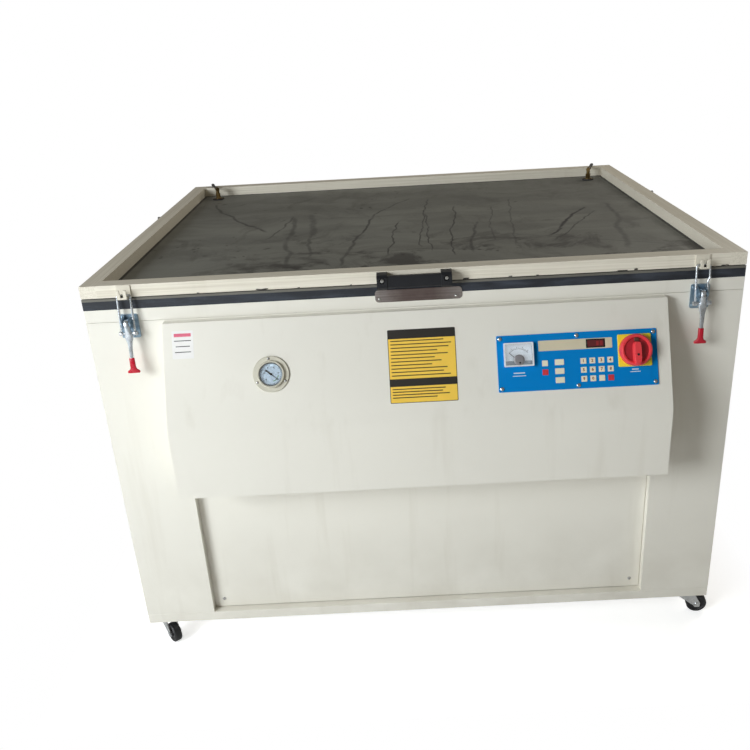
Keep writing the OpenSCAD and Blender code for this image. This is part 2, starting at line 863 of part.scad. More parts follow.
// Points of an arc in a plane that holds direction u and the upright
function arc_down(from, u, r, n) = [
    for (i = [1 : n]) let (a = 90 * i / n)
        [from[0] + u[0] * r * sin(a), from[1] + u[1] * r * sin(a), from[2] - r * (1 - cos(a))]
];

// Route of one hose: along the lid, over its rear rail and down to the rear elbow
function hose_route(s) =
    let (d = outlet_dir(s))
    let (start = [s * nipple_x + d[0] * outlet_len, nipple_y + d[1] * outlet_len, hose_z])
    let (edge = [s * hose_x, rear_y - 8, hose_z])
    let (down = arc_down(edge, [0, 1], hose_bend, 8))
    let (last = down[len(down) - 1])
    concat([start, start + (edge - start) / 3, start + (edge - start) * 2 / 3, edge], down,
           [for (i = [1 : 4]) last + [0, 0, (hose_end_z - last[2]) * i / 4]]);

// Frame across a path at one point: two unit vectors square to its direction
function path_dir(p, i) = let (d = p[min(i + 1, len(p) - 1)] - p[max(i - 1, 0)]) d / norm(d);
function side_dir(d) = let (c = cross(d, [1, 0, 0])) c / norm(c);

// Round tube swept along a path as one closed skin
module swept_tube(path, r, sides) {
    n = len(path);
    points = [
        for (i = [0 : n - 1]) let (d = path_dir(path, i)) let (u = side_dir(d)) let (w = cross(d, u))
            for (k = [0 : sides - 1]) let (a = 360 * k / sides) path[i] + r * (u * cos(a) + w * sin(a))
    ];
    walls = [
        for (i = [0 : n - 2], k = [0 : sides - 1])
            let (a = i * sides + k, b = i * sides + (k + 1) % sides)
                each [[a, b, b + sides], [a, b + sides, a + sides]]
    ];
    caps = concat(
        [[for (k = [sides - 1 : -1 : 0]) k]],
        [[for (k = [0 : sides - 1]) (n - 1) * sides + k]]
    );
    polyhedron(points = points, faces = concat(walls, caps), convexity = 4);
}

module vacuum_hoses() {
    color("#1c1c1e") for (s = [-1, 1]) swept_tube(hose_route(s), hose_r, 10);
}

module vacuum_manifold() {
    color("slategray") {
        for (s = [-1, 1]) translate([s * hose_x, 0, elbow_z]) {
            rod_y(manifold_y, rear_y + elbow_out, stem_r);
            rod_y(rear_y, rear_y + 3, 9);
            translate([0, rear_y + elbow_out, 0]) {
                sphere(r = elbow_r);
                cylinder(h = hose_end_z - elbow_z, r = elbow_r - 1);
            }
        }
        translate([0, manifold_y, elbow_z]) rod_x(-hose_x - 12, hose_x + 12, manifold_r);
        valve_z = (elbow_z + pump_port_z()) / 2 + 3 * valve_h;
        translate([pump_x, manifold_y, valve_z - valve_h])
            cylinder(h = elbow_z - valve_z + valve_h, r = manifold_r - 1);
        translate([pump_x, manifold_y, valve_z]) cylinder(h = valve_h, r = valve_coil_r);
        translate([pump_x - valve_s / 2, manifold_y - valve_s / 2, valve_z - valve_h])
            cube([valve_s, valve_s, valve_h]);
        translate([pump_x, manifold_y, pump_port_z()])
            cylinder(h = valve_z - valve_h - pump_port_z(), r = manifold_r - 2);
    }
}

// The pump stands on the floor sheet with its port straight below the valve
function pump_port_z() = floor_z + pump_port_h;

module vacuum_pump() {
    axis_z = floor_z + pump_lift;
    front = manifold_y - pump_half - motor_len;
    color("slategray") translate([pump_x, 0, 0]) {
        translate([0, 0, axis_z]) {
            rod_y(manifold_y - pump_half, manifold_y + pump_half, pump_r);
            rod_y(front + motor_cap, manifold_y - pump_half, motor_r);
            rod_y(front, front + motor_cap, motor_r + 4);
        }
        block([-8, manifold_y - 8, axis_z + pump_r - 15], [8, manifold_y + 8, pump_port_z()]);
        for (y = [front + motor_cap + 5, manifold_y - pump_half - 5])
            block([-pump_foot_w / 2, y - pump_foot_d / 2, floor_z],
                  [pump_foot_w / 2, y + pump_foot_d / 2, axis_z - pump_foot_d]);
    }
}

// Gauge, drawn around the local origin on the slope

module gauge_case() {
    color("#beb9a5") on_slope(-gauge_x, gauge_v) difference() {
        rotate_extrude($fn = 96) polygon([
            [0, -30], [gauge_can_r(), -30], [gauge_can_r(), 0], [gauge_r, 0], [gauge_r, 2.4],
            [gauge_r - 0.8, 3], [bezel_r, 3], [bezel_r, bezel_h - 1.2], [bezel_r - 1.2, bezel_h],
            [dial_r + 1.2, bezel_h], [dial_r, bezel_h - 1.4], [dial_r, dial_z],
            [needle_pin_r, dial_z], [needle_pin_r, needle_z + needle_t + 0.8], [0, needle_z + needle_t + 0.8]
        ]);
        for (a = gauge_screw_at) rotate(a) translate([gauge_screw_pcd, 0, -1])
            cylinder(h = 6, r = screw_shank_r - 0.5 + seat_gap);
    }
    color("goldenrod") on_slope(-gauge_x, gauge_v) translate([0, 0, -46]) cylinder(h = 16, r = 7);
}

module gauge_needle() {
    color("black") on_slope(-gauge_x, gauge_v) translate([0, 0, needle_z]) rotate(-needle_rest)
        difference() {
            union() {
                cylinder(h = needle_t, r = 2.6);
                translate([0, -0.7, 0]) cube([dial_r - 5, 1.4, needle_t]);
                translate([-dial_r + 10, -1.6, 0]) cube([dial_r - 11, 3.2, needle_t]);
            }
            translate([0, 0, -1]) cylinder(h = needle_t + 2, r = needle_pin_r + run_gap);
        }
}

module meter_case() {
    deep = 22;
    color("white") on_slope(meter_x, meter_v) translate([0, 0, plate_t + film_t]) {
        difference() {
            round_plate(meter_w, meter_h, meter_t, 2);
            translate([-meter_w / 2 + meter_lip, -meter_h / 2 + meter_lip, dial_z])
                cube([meter_w - 2 * meter_lip, meter_h - 2 * meter_lip, meter_t]);
        }
        translate([0, -meter_pivot, 0]) cylinder(h = needle_z + needle_t + 0.8, r = needle_pin_r);
        translate([0, 0, -deep]) cylinder(h = deep, r = meter_can_r());
    }
}

module meter_needle() {
    color("black") on_slope(meter_x, meter_v) translate([0, -meter_pivot, plate_t + film_t + needle_z])
        rotate(meter_rest) difference() {
            union() {
                cylinder(h = needle_t, r = 2.6);
                translate([0, -0.5, 0]) cube([26, 1, needle_t]);
                translate([-6, -1.5, 0]) cube([5, 3, needle_t]);
            }
            translate([0, 0, -1]) cylinder(h = needle_t + 2, r = needle_pin_r + run_gap);
        }
}

module instrument_windows() {
    color("lightblue", 0.4) {
        on_slope(-gauge_x, gauge_v) translate([0, 0, bezel_h - 1.4 - window_t])
            cylinder(h = window_t, r = dial_r - seat_gap, $fn = 96);
        on_slope(meter_x, meter_v) translate([0, 0, plate_t + film_t + meter_t - window_t])
            round_plate(meter_w - 2 * meter_lip - 2 * seat_gap, meter_h - 2 * meter_lip - 2 * seat_gap,
                        window_t, 1);
    }
}

// Control plate with its printed film, switch and board

module control_plate() {
    color("royalblue") difference() {
        on_slope(plate_x, plate_v) round_plate(plate_w, plate_h, plate_t, 2);
        on_slope(meter_x, meter_v) translate([0, 0, -1]) cylinder(h = 9, r = meter_can_r() + 0.5);
        on_slope(switch_x, switch_v) translate([0, 0, -1]) cylinder(h = 9, r = 24);
        on_slope(window_x, window_v) translate([-window_w / 2, -window_h / 2, -1])
            cube([window_w, window_h, 9]);
        for (p = plate_screws())
            on_slope(p[0], p[1]) translate([0, 0, -1]) cylinder(h = 9, r = screw_shank_r + seat_gap);
    }
}

// One raised key on the film
module film_key(x, v, w) {
    on_slope(x, v) translate([0, 0, plate_t + film_t]) round_plate(w, key_s, key_rise, 1);
}

module keypad_film() {
    color("dodgerblue") {
        difference() {
            on_slope(plate_x, plate_v) translate([0, 0, plate_t])
                round_plate(plate_w - 2 * film_edge, plate_h - 2 * film_edge, film_t, 2);
            on_slope(meter_x, meter_v) cylinder(h = 9, r = meter_can_r() + 0.5);
            on_slope(switch_x, switch_v) cylinder(h = 9, r = 24);
        }
        for (i = [0 : 3], j = [0 : 2]) film_key(keys_x + i * key_pitch, keys_v + j * key_pitch, key_s);
        for (j = [0 : 1]) film_key(single_keys_x, single_keys_v + j * key_pitch, key_s);
        for (j = [0 : 2]) film_key(wide_keys_x, keys_v + j * key_pitch, wide_key_w);
    }
}

module switch_plate() {
    height = switch_w - 2;
    color("gold") on_slope(switch_x, switch_v) translate([0, 0, plate_t + film_t]) difference() {
        union() {
            round_plate(switch_w, height, 3, 3);
            translate([0, 0, -48]) cylinder(h = 48, r = 22);
        }
        translate([0, 0, -20]) cylinder(h = 30, r = 5 + run_gap);
    }
}

module switch_knob() {
    base = plate_t + film_t + 3 + free_gap;
    color("crimson") on_slope(switch_x, switch_v) translate([0, 0, base]) {
        rotate_extrude($fn = 96) polygon([
            [0, -18], [5, -18], [5, 0], [knob_r, 0], [knob_r, 14], [knob_r - 3, 18], [knob_r - 6, 18],
            [knob_r - 8, 14], [0, 14]
        ]);
        translate([-8, -knob_r + 7, 14 - knob_low]) cube([16, 2 * knob_r - 16, 14]);
    }
}

module control_board() {
    color("seagreen") on_slope(board_x, plate_v) {
        translate([-board_w / 2, -board_h / 2, -14]) cube([board_w, board_h, 1.6]);
        for (x = [-1, 1], y = [-1, 1]) translate([x * (board_w / 2 - 5), y * (board_h / 2 - 5), -14])
            cylinder(h = 14, r = 3);
        translate([-20, -20, -32]) cube([40, 34, 18.2]);
    }
}

// Casters: frame of one caster, turned about its swivel

module at_caster(i) {
    s = caster_side[i];
    translate([s[0] * (body_w / 2 - caster_in_x),
               s[1] < 0 ? front_y + caster_in_y : rear_y - caster_in_y, 0])
        rotate(caster_turn[i]) children();
}

module caster_plates() {
    color("silver") for (i = [0 : 3]) {
        s = caster_side[i];
        translate([s[0] * (body_w / 2 - caster_in_x),
                   s[1] < 0 ? front_y + caster_in_y : rear_y - caster_in_y, 0]) {
            translate([0, 0, caster_h - caster_plate_t])
                round_plate(caster_plate_s, caster_plate_s, caster_plate_t, 5);
            translate([0, 0, fork_top + free_gap]) cylinder(h = race_h, r = race_r);
            translate([0, 0, kingpin_z]) cylinder(h = caster_h - kingpin_z - 1, r = kingpin_r);
            translate([0, 0, kingpin_z - 1.5]) cylinder(h = 1.5, r = kingpin_r + 2);
        }
    }
}

module caster_fork(i) {
    inner = wheel_w / 2 + fork_gap;
    color("gainsboro") at_caster(i) {
        difference() {
            union() {
                translate([-inner - fork_t, -race_r, fork_top - fork_t])
                    cube([2 * (inner + fork_t), 2 * race_r - 4, fork_t]);
                for (x = [-1, 1]) translate([x * (inner + fork_t / 2), 0, 0]) side_profile(fork_t, [
                    [-race_r, fork_top], [race_r - 4, fork_top], [caster_trail + 8, wheel_r + 4],
                    [caster_trail + 7, wheel_r - 6], [caster_trail - 4, wheel_r - 8],
                    [caster_trail - 9, wheel_r - 2], [-race_r, fork_top - 10]
                ]);
            }
            translate([0, 0, fork_top - 20]) cylinder(h = 30, r = kingpin_r + run_gap);
            translate([0, caster_trail, wheel_r]) rod_x(-30, 30, axle_r);
        }
        translate([0, caster_trail, wheel_r]) {
            rod_x(-inner - fork_t, inner + fork_t, axle_r - run_gap);
            rod_x(-inner - fork_t - 2, -inner - fork_t, axle_r + 2);
            rod_x(inner + fork_t, inner + fork_t + 2, axle_r + 2);
        }
    }
}

module caster_wheel(i) {
    half = wheel_w / 2;
    color("#202020") at_caster(i) translate([0, caster_trail, wheel_r]) rotate([0, 90, 0])
        rotate_extrude($fn = 64) polygon([
            [axle_r, -half], [9, -half], [10, -half + 3], [wheel_r - 8, -half + 3], [wheel_r - 6, -half + 0.5],
            [wheel_r - 2, -half + 0.5], [wheel_r, -half + 3], [wheel_r, half - 3],
            [wheel_r - 2, half - 0.5], [wheel_r - 6, half - 0.5], [wheel_r - 8, half - 3],
            [10, half - 3], [9, half], [axle_r, half]
        ]);
}

// Lamp house, fan and power pieces inside the cabinet

module uv_lamp() {
    half = house_w / 2 - lamp_inset;
    color("lavender") translate([0, mid_y, lamp_z]) {
        rod_x(-half + lamp_cap, half - lamp_cap, lamp_tube_r);
        for (x = [-half, half - lamp_cap]) translate([x, 0, 0]) rod_x(0, lamp_cap, lamp_cap_r);
    }
}

module lamp_holders() {
    half = house_w / 2 - sheet_t;
    color("linen") for (s = [0, 1]) mirror([s, 0, 0]) difference() {
        block([half - holder_t, mid_y - holder_w / 2, lamp_z - holder_drop],
              [half, mid_y + holder_w / 2, lamp_z + holder_drop - 6]);
        translate([0, mid_y, lamp_z])
            rod_x(half - 2 * lamp_cap, half + sheet_t - lamp_inset + lamp_end_gap, lamp_cap_r + seat_gap);
    }
}

module reflector() {
    half = house_w / 2;
    wing = 0.9 * reflector_r;
    color("lightgray") {
        translate([0, mid_y, lamp_z + 20]) rotate([90, 0, 90]) translate([0, 0, -half + sheet_t])
            linear_extrude(house_w - 2 * sheet_t) difference() {
                circle(r = reflector_r, $fn = 96);
                circle(r = reflector_r - sheet_t, $fn = 96);
                translate([-2 * reflector_r, -20]) square(4 * reflector_r);
            }
        for (s = [0, 1]) mirror([s, 0, 0]) {
            block([half - sheet_t, mid_y - wing, floor_z], [half, mid_y + wing, lamp_z + 10]);
            block([half - sheet_t, mid_y - wing, floor_z], [half + reflector_foot, mid_y + wing, floor_z + sheet_t]);
        }
    }
}

module fan_housing() {
    color("dimgray") translate([0, fan_y, fan_z]) {
        difference() {
            block([-fan_s / 2, 0, -fan_s / 2], [fan_s / 2, fan_t, fan_s / 2]);
            rod_y(-1, fan_t + 1, fan_bore);
        }
        for (a = [45, 135]) rotate([0, a, 0])
            block([-fan_bore - 3, 1, -4], [fan_bore + 3, 5, 4]);
        rod_y(0, 6, fan_hub_r);
        rod_y(5, fan_axle_len, fan_axle_r);
    }
}

module fan_rotor() {
    color("black") translate([0, fan_y, fan_z]) difference() {
        union() {
            rod_y(8, 8 + fan_hub_t, fan_hub_r);
            for (i = [0 : 6]) rotate([0, i * 360 / 7, 0]) translate([fan_hub_r - 3, 8 + fan_hub_t / 2, 0])
                rotate([38, 0, 0]) block([0, -1.2, -17], [fan_bore - fan_hub_r - 1, 1.2, 17]);
        }
        rod_y(0, fan_axle_len + free_gap, fan_axle_r + run_gap);
    }
}

module ballast() {
    w = ballast_s[0] / 2;
    d = ballast_s[1] / 2;
    color("dimgray") translate([ballast_x, mid_y, floor_z]) {
        block([-w, -d, 0], [w, d, 2 * sheet_t]);
        block([10 - w, 15 - d, 2 * sheet_t], [w - 10, d - 15, ballast_s[2]]);
        for (s = [-1, 1]) translate([0, s * (d - 7), 0]) block([-w / 2, -9, 20], [w / 2, 9, ballast_s[2] - 20]);
    }
}

module mains_gland() {
    color("dimgray") translate([gland_x, 0, gland_z]) difference() {
        union() {
            rod_y(rear_y - 12, rear_y + 8, gland_r);
            translate([0, rear_y, 0]) rotate([-90, 0, 0]) cylinder(h = 5, r = 14, $fn = 6);
            translate([0, rear_y - sheet_t - 5, 0]) rotate([-90, 0, 0]) cylinder(h = 5, r = 14, $fn = 6);
            rod_y(rear_y + 5, rear_y + 20, 12);
        }
        rod_y(rear_y - 20, rear_y + 30, gland_bore);
    }
}

// Gas struts: local Z runs from the lower stud to the lid

module at_strut(s) {
    translate([s * strut_x, strut_lower[0], strut_lower[1]]) rotate([strut_a, 0, 0]) children();
}

module strut_cylinder(s) {
    color("#26282c") at_strut(s) difference() {
        union() {
            rod_x(-strut_eye_w / 2, strut_eye_w / 2, strut_eye_r);
            translate([-3, -4, 3]) cube([6, 8, 14]);
            translate([0, 0, 12]) cylinder(h = strut_body - 12, r = strut_r);
        }
        rod_x(-strut_eye_w, strut_eye_w, stud_r + run_gap);
        translate([0, 0, 28]) cylinder(h = strut_body - 36, r = strut_r - 1.5);
        translate([0, 0, strut_body - 20]) cylinder(h = 30, r = strut_rod_r + run_gap);
    }
}

module strut_rod(s) {
    outward = s * strut_eye_w / 2;
    inward = s * (body_w / 2 + bracket_t + free_gap - strut_x);
    color("silver") at_strut(s) {
        translate([0, 0, 50]) cylinder(h = strut_len - 50 - strut_eye_r + 1, r = strut_rod_r);
        translate([0, 0, 44]) cylinder(h = 10, r = strut_r - 1.5 - run_gap);
        translate([0, 0, strut_len]) {
            rod_x(-strut_eye_w / 2, strut_eye_w / 2, strut_eye_r);
            rod_x(min(outward, inward), max(outward, inward), stud_r);
        }
    }
}

// Assembly
base_frame();
side_panels();
rear_panel();
front_fascia();
access_panel();
top_frame();
console_cover();
glass_plate();
gasket();
panel_screws();
latch_bases();
hinge_cabinet_leaves();
guard_plate();
gauge_case();
instrument_windows();
control_plate();
keypad_film();
meter_case();
switch_plate();
caster_plates();
uv_lamp();
lamp_holders();
reflector();
fan_housing();
vacuum_pump();
ballast();
control_board();
vacuum_manifold();
mains_gland();
lid_frame();
rubber_blanket();
blanket_strips();
lid_handle();
latch_keepers();
hinge_lid_leaves();
hose_nipples();
vacuum_hoses();
gauge_needle();
meter_needle();
switch_knob();
latch_lever(-1);  // latch_lever_left
latch_lever(1);  // latch_lever_right
latch_trunnion(-1);  // latch_trunnion_left
latch_trunnion(1);  // latch_trunnion_right
latch_bar(-1);  // latch_bar_left
latch_bar(1);  // latch_bar_right
caster_fork(0);  // caster_fork_front_left
caster_fork(1);  // caster_fork_front_right
caster_fork(2);  // caster_fork_rear_left
caster_fork(3);  // caster_fork_rear_right
caster_wheel(0);  // caster_wheel_front_left
caster_wheel(1);  // caster_wheel_front_right
caster_wheel(2);  // caster_wheel_rear_left
caster_wheel(3);  // caster_wheel_rear_right
fan_rotor();
strut_cylinder(-1);  // strut_cylinder_left
strut_cylinder(1);  // strut_cylinder_right
strut_rod(-1);  // strut_rod_left
strut_rod(1);  // strut_rod_right
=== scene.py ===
"""Finishes and small pieces of a screen printing exposure unit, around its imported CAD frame."""

import json
import math
from contextlib import contextmanager
from functools import partialmethod

import bpy
from bpy.props import FloatProperty, FloatVectorProperty, IntProperty, PointerProperty
from mathutils import Matrix, Vector, noise

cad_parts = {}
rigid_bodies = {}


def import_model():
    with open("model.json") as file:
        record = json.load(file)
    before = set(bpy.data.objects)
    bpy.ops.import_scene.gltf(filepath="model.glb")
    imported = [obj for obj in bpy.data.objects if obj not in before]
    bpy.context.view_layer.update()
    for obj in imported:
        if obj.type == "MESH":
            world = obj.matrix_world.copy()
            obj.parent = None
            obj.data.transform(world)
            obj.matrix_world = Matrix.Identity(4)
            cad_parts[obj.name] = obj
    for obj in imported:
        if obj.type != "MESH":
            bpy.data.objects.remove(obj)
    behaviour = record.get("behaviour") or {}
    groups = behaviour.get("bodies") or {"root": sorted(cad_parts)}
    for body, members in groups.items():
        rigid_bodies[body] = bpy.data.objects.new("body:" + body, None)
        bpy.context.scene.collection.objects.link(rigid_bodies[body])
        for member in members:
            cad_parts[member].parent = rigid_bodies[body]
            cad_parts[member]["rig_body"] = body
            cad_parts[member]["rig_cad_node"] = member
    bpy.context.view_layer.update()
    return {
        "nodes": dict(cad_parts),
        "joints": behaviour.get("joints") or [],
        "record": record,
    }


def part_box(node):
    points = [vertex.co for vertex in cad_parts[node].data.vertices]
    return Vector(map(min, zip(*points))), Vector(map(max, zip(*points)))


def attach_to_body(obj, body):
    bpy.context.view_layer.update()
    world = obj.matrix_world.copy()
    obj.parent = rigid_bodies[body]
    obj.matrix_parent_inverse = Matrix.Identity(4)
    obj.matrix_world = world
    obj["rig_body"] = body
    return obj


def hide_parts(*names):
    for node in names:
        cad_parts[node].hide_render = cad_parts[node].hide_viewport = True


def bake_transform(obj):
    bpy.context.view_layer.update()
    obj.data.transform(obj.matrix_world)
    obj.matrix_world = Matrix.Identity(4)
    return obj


bl_info = {
    "name": "Exposure unit finishes",
    "version": (1, 0, 0),
    "blender": (4, 5, 0),
    "location": "View3D > Sidebar > Exposure unit",
    "description": "Paint, rubber, controls and latches of a screen printing exposure unit",
    "category": "Object",
}

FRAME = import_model()
NODES = FRAME["nodes"]
BODY_OF = {node: body for body, nodes in FRAME["record"]["behaviour"]["bodies"].items() for node in nodes}
JOINT = {joint["name"]: joint for joint in FRAME["joints"]}

MM = 0.001
COVER_LOW, COVER_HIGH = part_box("console_cover")
LID_LOW, LID_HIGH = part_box("lid_frame")
RAIL_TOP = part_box("top_frame")[1].z
FRONT = COVER_HIGH.y
CONSOLE_TOP_REACH = 19 * MM
SLOPE_HEIGHT = 216 * MM
SLOPE_ANGLE = math.atan2(FRONT - COVER_LOW.y - CONSOLE_TOP_REACH, SLOPE_HEIGHT)
LATCH_X = 607 * MM
LATCH_TRUNNION = Vector(JOINT["latch_bar_left_swing"]["pos_m"])

# Places on the console's slope, in millimetres: to the right, and down from its upper edge
GAUGE = (-308, 118)
METER = (213.7, 104)
SWITCH = (457, 107)
PLATE = (337, 122.5)
DISPLAY = (376.3, 88.3)
LABEL = (12, 116)
STICKER_X = -491.5

# Heights over the slope, in millimetres
PLATE_FACE = 2.6
FILM_FACE = PLATE_FACE + 0.5
METER_CARD = PLATE_FACE + 1.05
METER_WINDOW = PLATE_FACE + 9
SWITCH_BASE = PLATE_FACE + 3.3


def rgb(red, green, blue):
    """A colour in the shader's linear light from a screen colour of 0 to 255."""

    def linear(value):
        value /= 255
        return value / 12.92 if value <= 0.04045 else ((value + 0.055) / 1.055) ** 2.4

    return (linear(red), linear(green), linear(blue), 1.0)


# Shader maths


class Level:
    """One number on a surface. Sums, products and tests of levels add their own Math nodes."""

    def __init__(self, tree, socket):
        self.tree = tree
        self.socket = socket

    def combine(self, operation, *others, clamp=False):
        node = self.tree.nodes.new("ShaderNodeMath")
        node.operation = operation
        node.use_clamp = clamp
        for slot, value in zip(node.inputs, (self, *others)):
            if isinstance(value, Level):
                self.tree.links.new(value.socket, slot)
            else:
                slot.default_value = value
        return Level(self.tree, node.outputs[0])

    __add__ = __radd__ = partialmethod(combine, "ADD")
    __sub__ = partialmethod(combine, "SUBTRACT")
    __mul__ = __rmul__ = partialmethod(combine, "MULTIPLY")
    __truediv__ = partialmethod(combine, "DIVIDE")
    __pow__ = partialmethod(combine, "POWER")
    __mod__ = partialmethod(combine, "MODULO")
    __lt__ = partialmethod(combine, "LESS_THAN")
    __gt__ = partialmethod(combine, "GREATER_THAN")
    __abs__ = partialmethod(combine, "ABSOLUTE")
    angle_to = partialmethod(combine, "ARCTAN2")
    clamped = partialmethod(combine, "ADD", 0.0, clamp=True)

    def __rsub__(self, other):
        return self * -1.0 + other

    def between(self, low, high):
        return (self > low) * (self < high)

    def ramp(self, low, high):
        """0 at low, 1 at high, and even between them."""
        return ((self - low) / (high - low)).clamped()


class Nodes:
    """A node tree, and short ways to add nodes to it and to feed their inputs."""

    def __init__(self, tree):
        self.tree = tree

    def add(self, kind, settings=None, **values):
        node = self.tree.nodes.new(kind)
        for name, value in (settings or {}).items():
            setattr(node, name, value)
        for name, value in values.items():
            self.feed(node.inputs[name.replace("_", " ")], value)
        return node

    def feed(self, slot, value):
        if isinstance(value, Level):
            value = value.socket
        if isinstance(value, bpy.types.NodeSocket):
            self.tree.links.new(value, slot)
        else:
            slot.default_value = value

    def level(self, socket):
        return Level(self.tree, socket)

    def surface(self, output, amount, first, second):
        """Shows a mix of two shaders."""
        mix = self.add("ShaderNodeMixShader")
        for slot, value in zip(mix.inputs, (amount, first, second)):
            self.feed(slot, value)
        self.feed(self.tree.nodes[output].inputs["Surface"], mix.outputs[0])


class Finish(Nodes):
    """A material of one real finish, built round the surface shader."""

    def __init__(self, name, colour, roughness, **fixed):
        self.material = bpy.data.materials.new(name)
        self.material.use_nodes = True
        super().__init__(self.material.node_tree)
        self.shader = self.tree.nodes["Principled BSDF"]
        for slot, value in {"Base_Color": colour, "Roughness": roughness, **fixed}.items():
            self.feed(self.shader.inputs[slot.replace("_", " ")], value)
        self.place = self.add("ShaderNodeTexCoord").outputs["Object"]

    def axes(self, source=None):
        node = self.add("ShaderNodeSeparateXYZ", Vector=source or self.place)
        return [self.level(node.outputs[axis]) for axis in "XYZ"]

    def mapped(self, source=None, **values):
        node = self.add("ShaderNodeMapping", {"vector_type": "POINT"}, Vector=source or self.place, **values)
        return node.outputs["Vector"]

    def turned(self, matrix):
        """Coordinates in the frame of a placed piece."""
        back = matrix.inverted()
        return self.mapped(Location=back.to_translation(), Rotation=back.to_euler())

    def stretched(self, scale, source=None):
        return self.mapped(source, Scale=scale)

    def cloud(self, scale, detail=3.0, rough=0.5, source=None):
        node = self.add("ShaderNodeTexNoise", Vector=source or self.place, Scale=scale, Detail=detail,
                        Roughness=rough)
        return self.level(node.outputs["Fac"])

    def cells(self, scale, source):
        """Distance to the nearest of many scattered points."""
        return self.level(self.add("ShaderNodeTexVoronoi", Vector=source, Scale=scale).outputs["Distance"])

    def blend(self, amount, first, second):
        node = self.add("ShaderNodeMix", {"data_type": "RGBA"})
        for slot, value in zip((node.inputs[0], node.inputs[6], node.inputs[7]), (amount, first, second)):
            self.feed(slot, value)
        return node.outputs[2]

    def layered(self, tone, *layers):
        """Colours laid over a tone, each by its amount."""
        for amount, colour in layers:
            tone = self.blend(amount, tone, colour)
        return tone

    def made(self, colour, roughness=None, height=None, distance=0.0, strength=1.0):
        """The material, with the colour, roughness and relief that vary over it."""
        self.feed(self.shader.inputs["Base Color"], colour)
        if roughness is not None:
            self.feed(self.shader.inputs["Roughness"], roughness)
        if height is not None:
            node = self.add("ShaderNodeBump", Height=height, Distance=distance, Strength=strength)
            self.feed(self.shader.inputs["Normal"], node.outputs["Normal"])
        return self.material


def shade(colour, factor):
    return tuple(channel * factor for channel in colour[:3]) + (1.0,)


def powder_coat(name, colour, drawn_lines=0.0):
    """Cream powder coat: orange peel, faint clouding, dust low down, scuffs, and lines along drawn tubes."""
    finish = Finish(name, colour, 0.42, Coat_Weight=0.15, Coat_Roughness=0.25)
    x, _, z = finish.axes()
    cloudy = finish.cloud(2.2, 4.0).ramp(0.35, 0.7)
    low = z.ramp(0.34, 0.08) * finish.cloud(9.0, 4.0).ramp(0.3, 0.75)
    streaks = finish.cloud(3.0, 5.0, source=finish.stretched((9.0, 9.0, 0.8))).ramp(0.58, 0.75)
    scuff = finish.cloud(60.0, 6.0, 0.7).ramp(0.72, 0.8)
    tone = finish.layered(colour, (cloudy * 0.35, shade(colour, 0.93)), (streaks * 0.10, rgb(170, 158, 130)),
                          (low * 0.22, rgb(150, 138, 112)), (scuff * 0.25, rgb(140, 128, 105)))
    if drawn_lines:
        side = abs(x).ramp(LID_HIGH.x - 38.5 * MM, LID_HIGH.x - 37.5 * MM)  # the side tubes are 38 mm wide
        lengthways = finish.cloud(1.0, 4.0, 0.65, finish.stretched((3.0, 330.0, 330.0)))
        crossways = finish.cloud(1.0, 4.0, 0.65, finish.stretched((330.0, 3.0, 330.0)))
        lines = (lengthways * (1 - side) + crossways * side).ramp(0.42, 0.66)
        tone = finish.blend(lines * drawn_lines, tone, rgb(164, 152, 124))
    return finish.made(tone, cloudy * 0.08 + scuff * 0.25 + 0.38, finish.cloud(420.0, 2.0), 0.0004, 0.35)


# Dark runs across the blanket: start, end, half width and depth of tone
RUNS = (
    ((-0.595, 0.42), (-0.545, 0.27), 5.0, 0.7), ((-0.548, 0.28), (-0.39, 0.01), 6.0, 0.8),
    ((-0.33, 0.19), (-0.37, -0.07), 4.0, 0.6), ((-0.33, 0.17), (-0.278, -0.36), 9.0, 0.5),
    ((-0.28, 0.21), (-0.25, -0.06), 13.0, 0.45), ((-0.255, -0.03), (-0.235, -0.28), 5.0, 0.5),
    ((0.013, 0.355), (-0.092, 0.155), 3.5, 0.8), ((-0.088, 0.165), (-0.136, -0.17), 5.0, 0.75),
    ((-0.13, -0.15), (-0.165, -0.37), 6.0, 0.6), ((-0.02, 0.05), (-0.05, -0.29), 3.0, 0.8),
    ((0.068, 0.34), (0.026, -0.23), 2.6, 0.75), ((0.056, 0.13), (0.052, -0.27), 2.6, 0.8),
    ((0.141, 0.21), (0.11, -0.32), 3.0, 0.85), ((0.196, 0.0), (0.154, -0.3), 5.0, 0.6),
    ((0.25, 0.18), (0.219, -0.2), 2.6, 0.6), ((0.312, 0.28), (0.262, -0.25), 3.0, 0.5),
    ((0.503, 0.112), (0.348, -0.185), 5.5, 0.95), ((0.52, 0.06), (0.352, -0.232), 3.0, 0.75),
    ((0.575, 0.15), (0.56, -0.055), 8.0, 0.5), ((0.56, -0.05), (0.508, -0.335), 10.0, 0.45),
    ((-0.27, -0.248), (0.09, -0.256), 3.0, 0.6), ((0.28, -0.16), (0.62, -0.33), 3.0, 0.5),
)


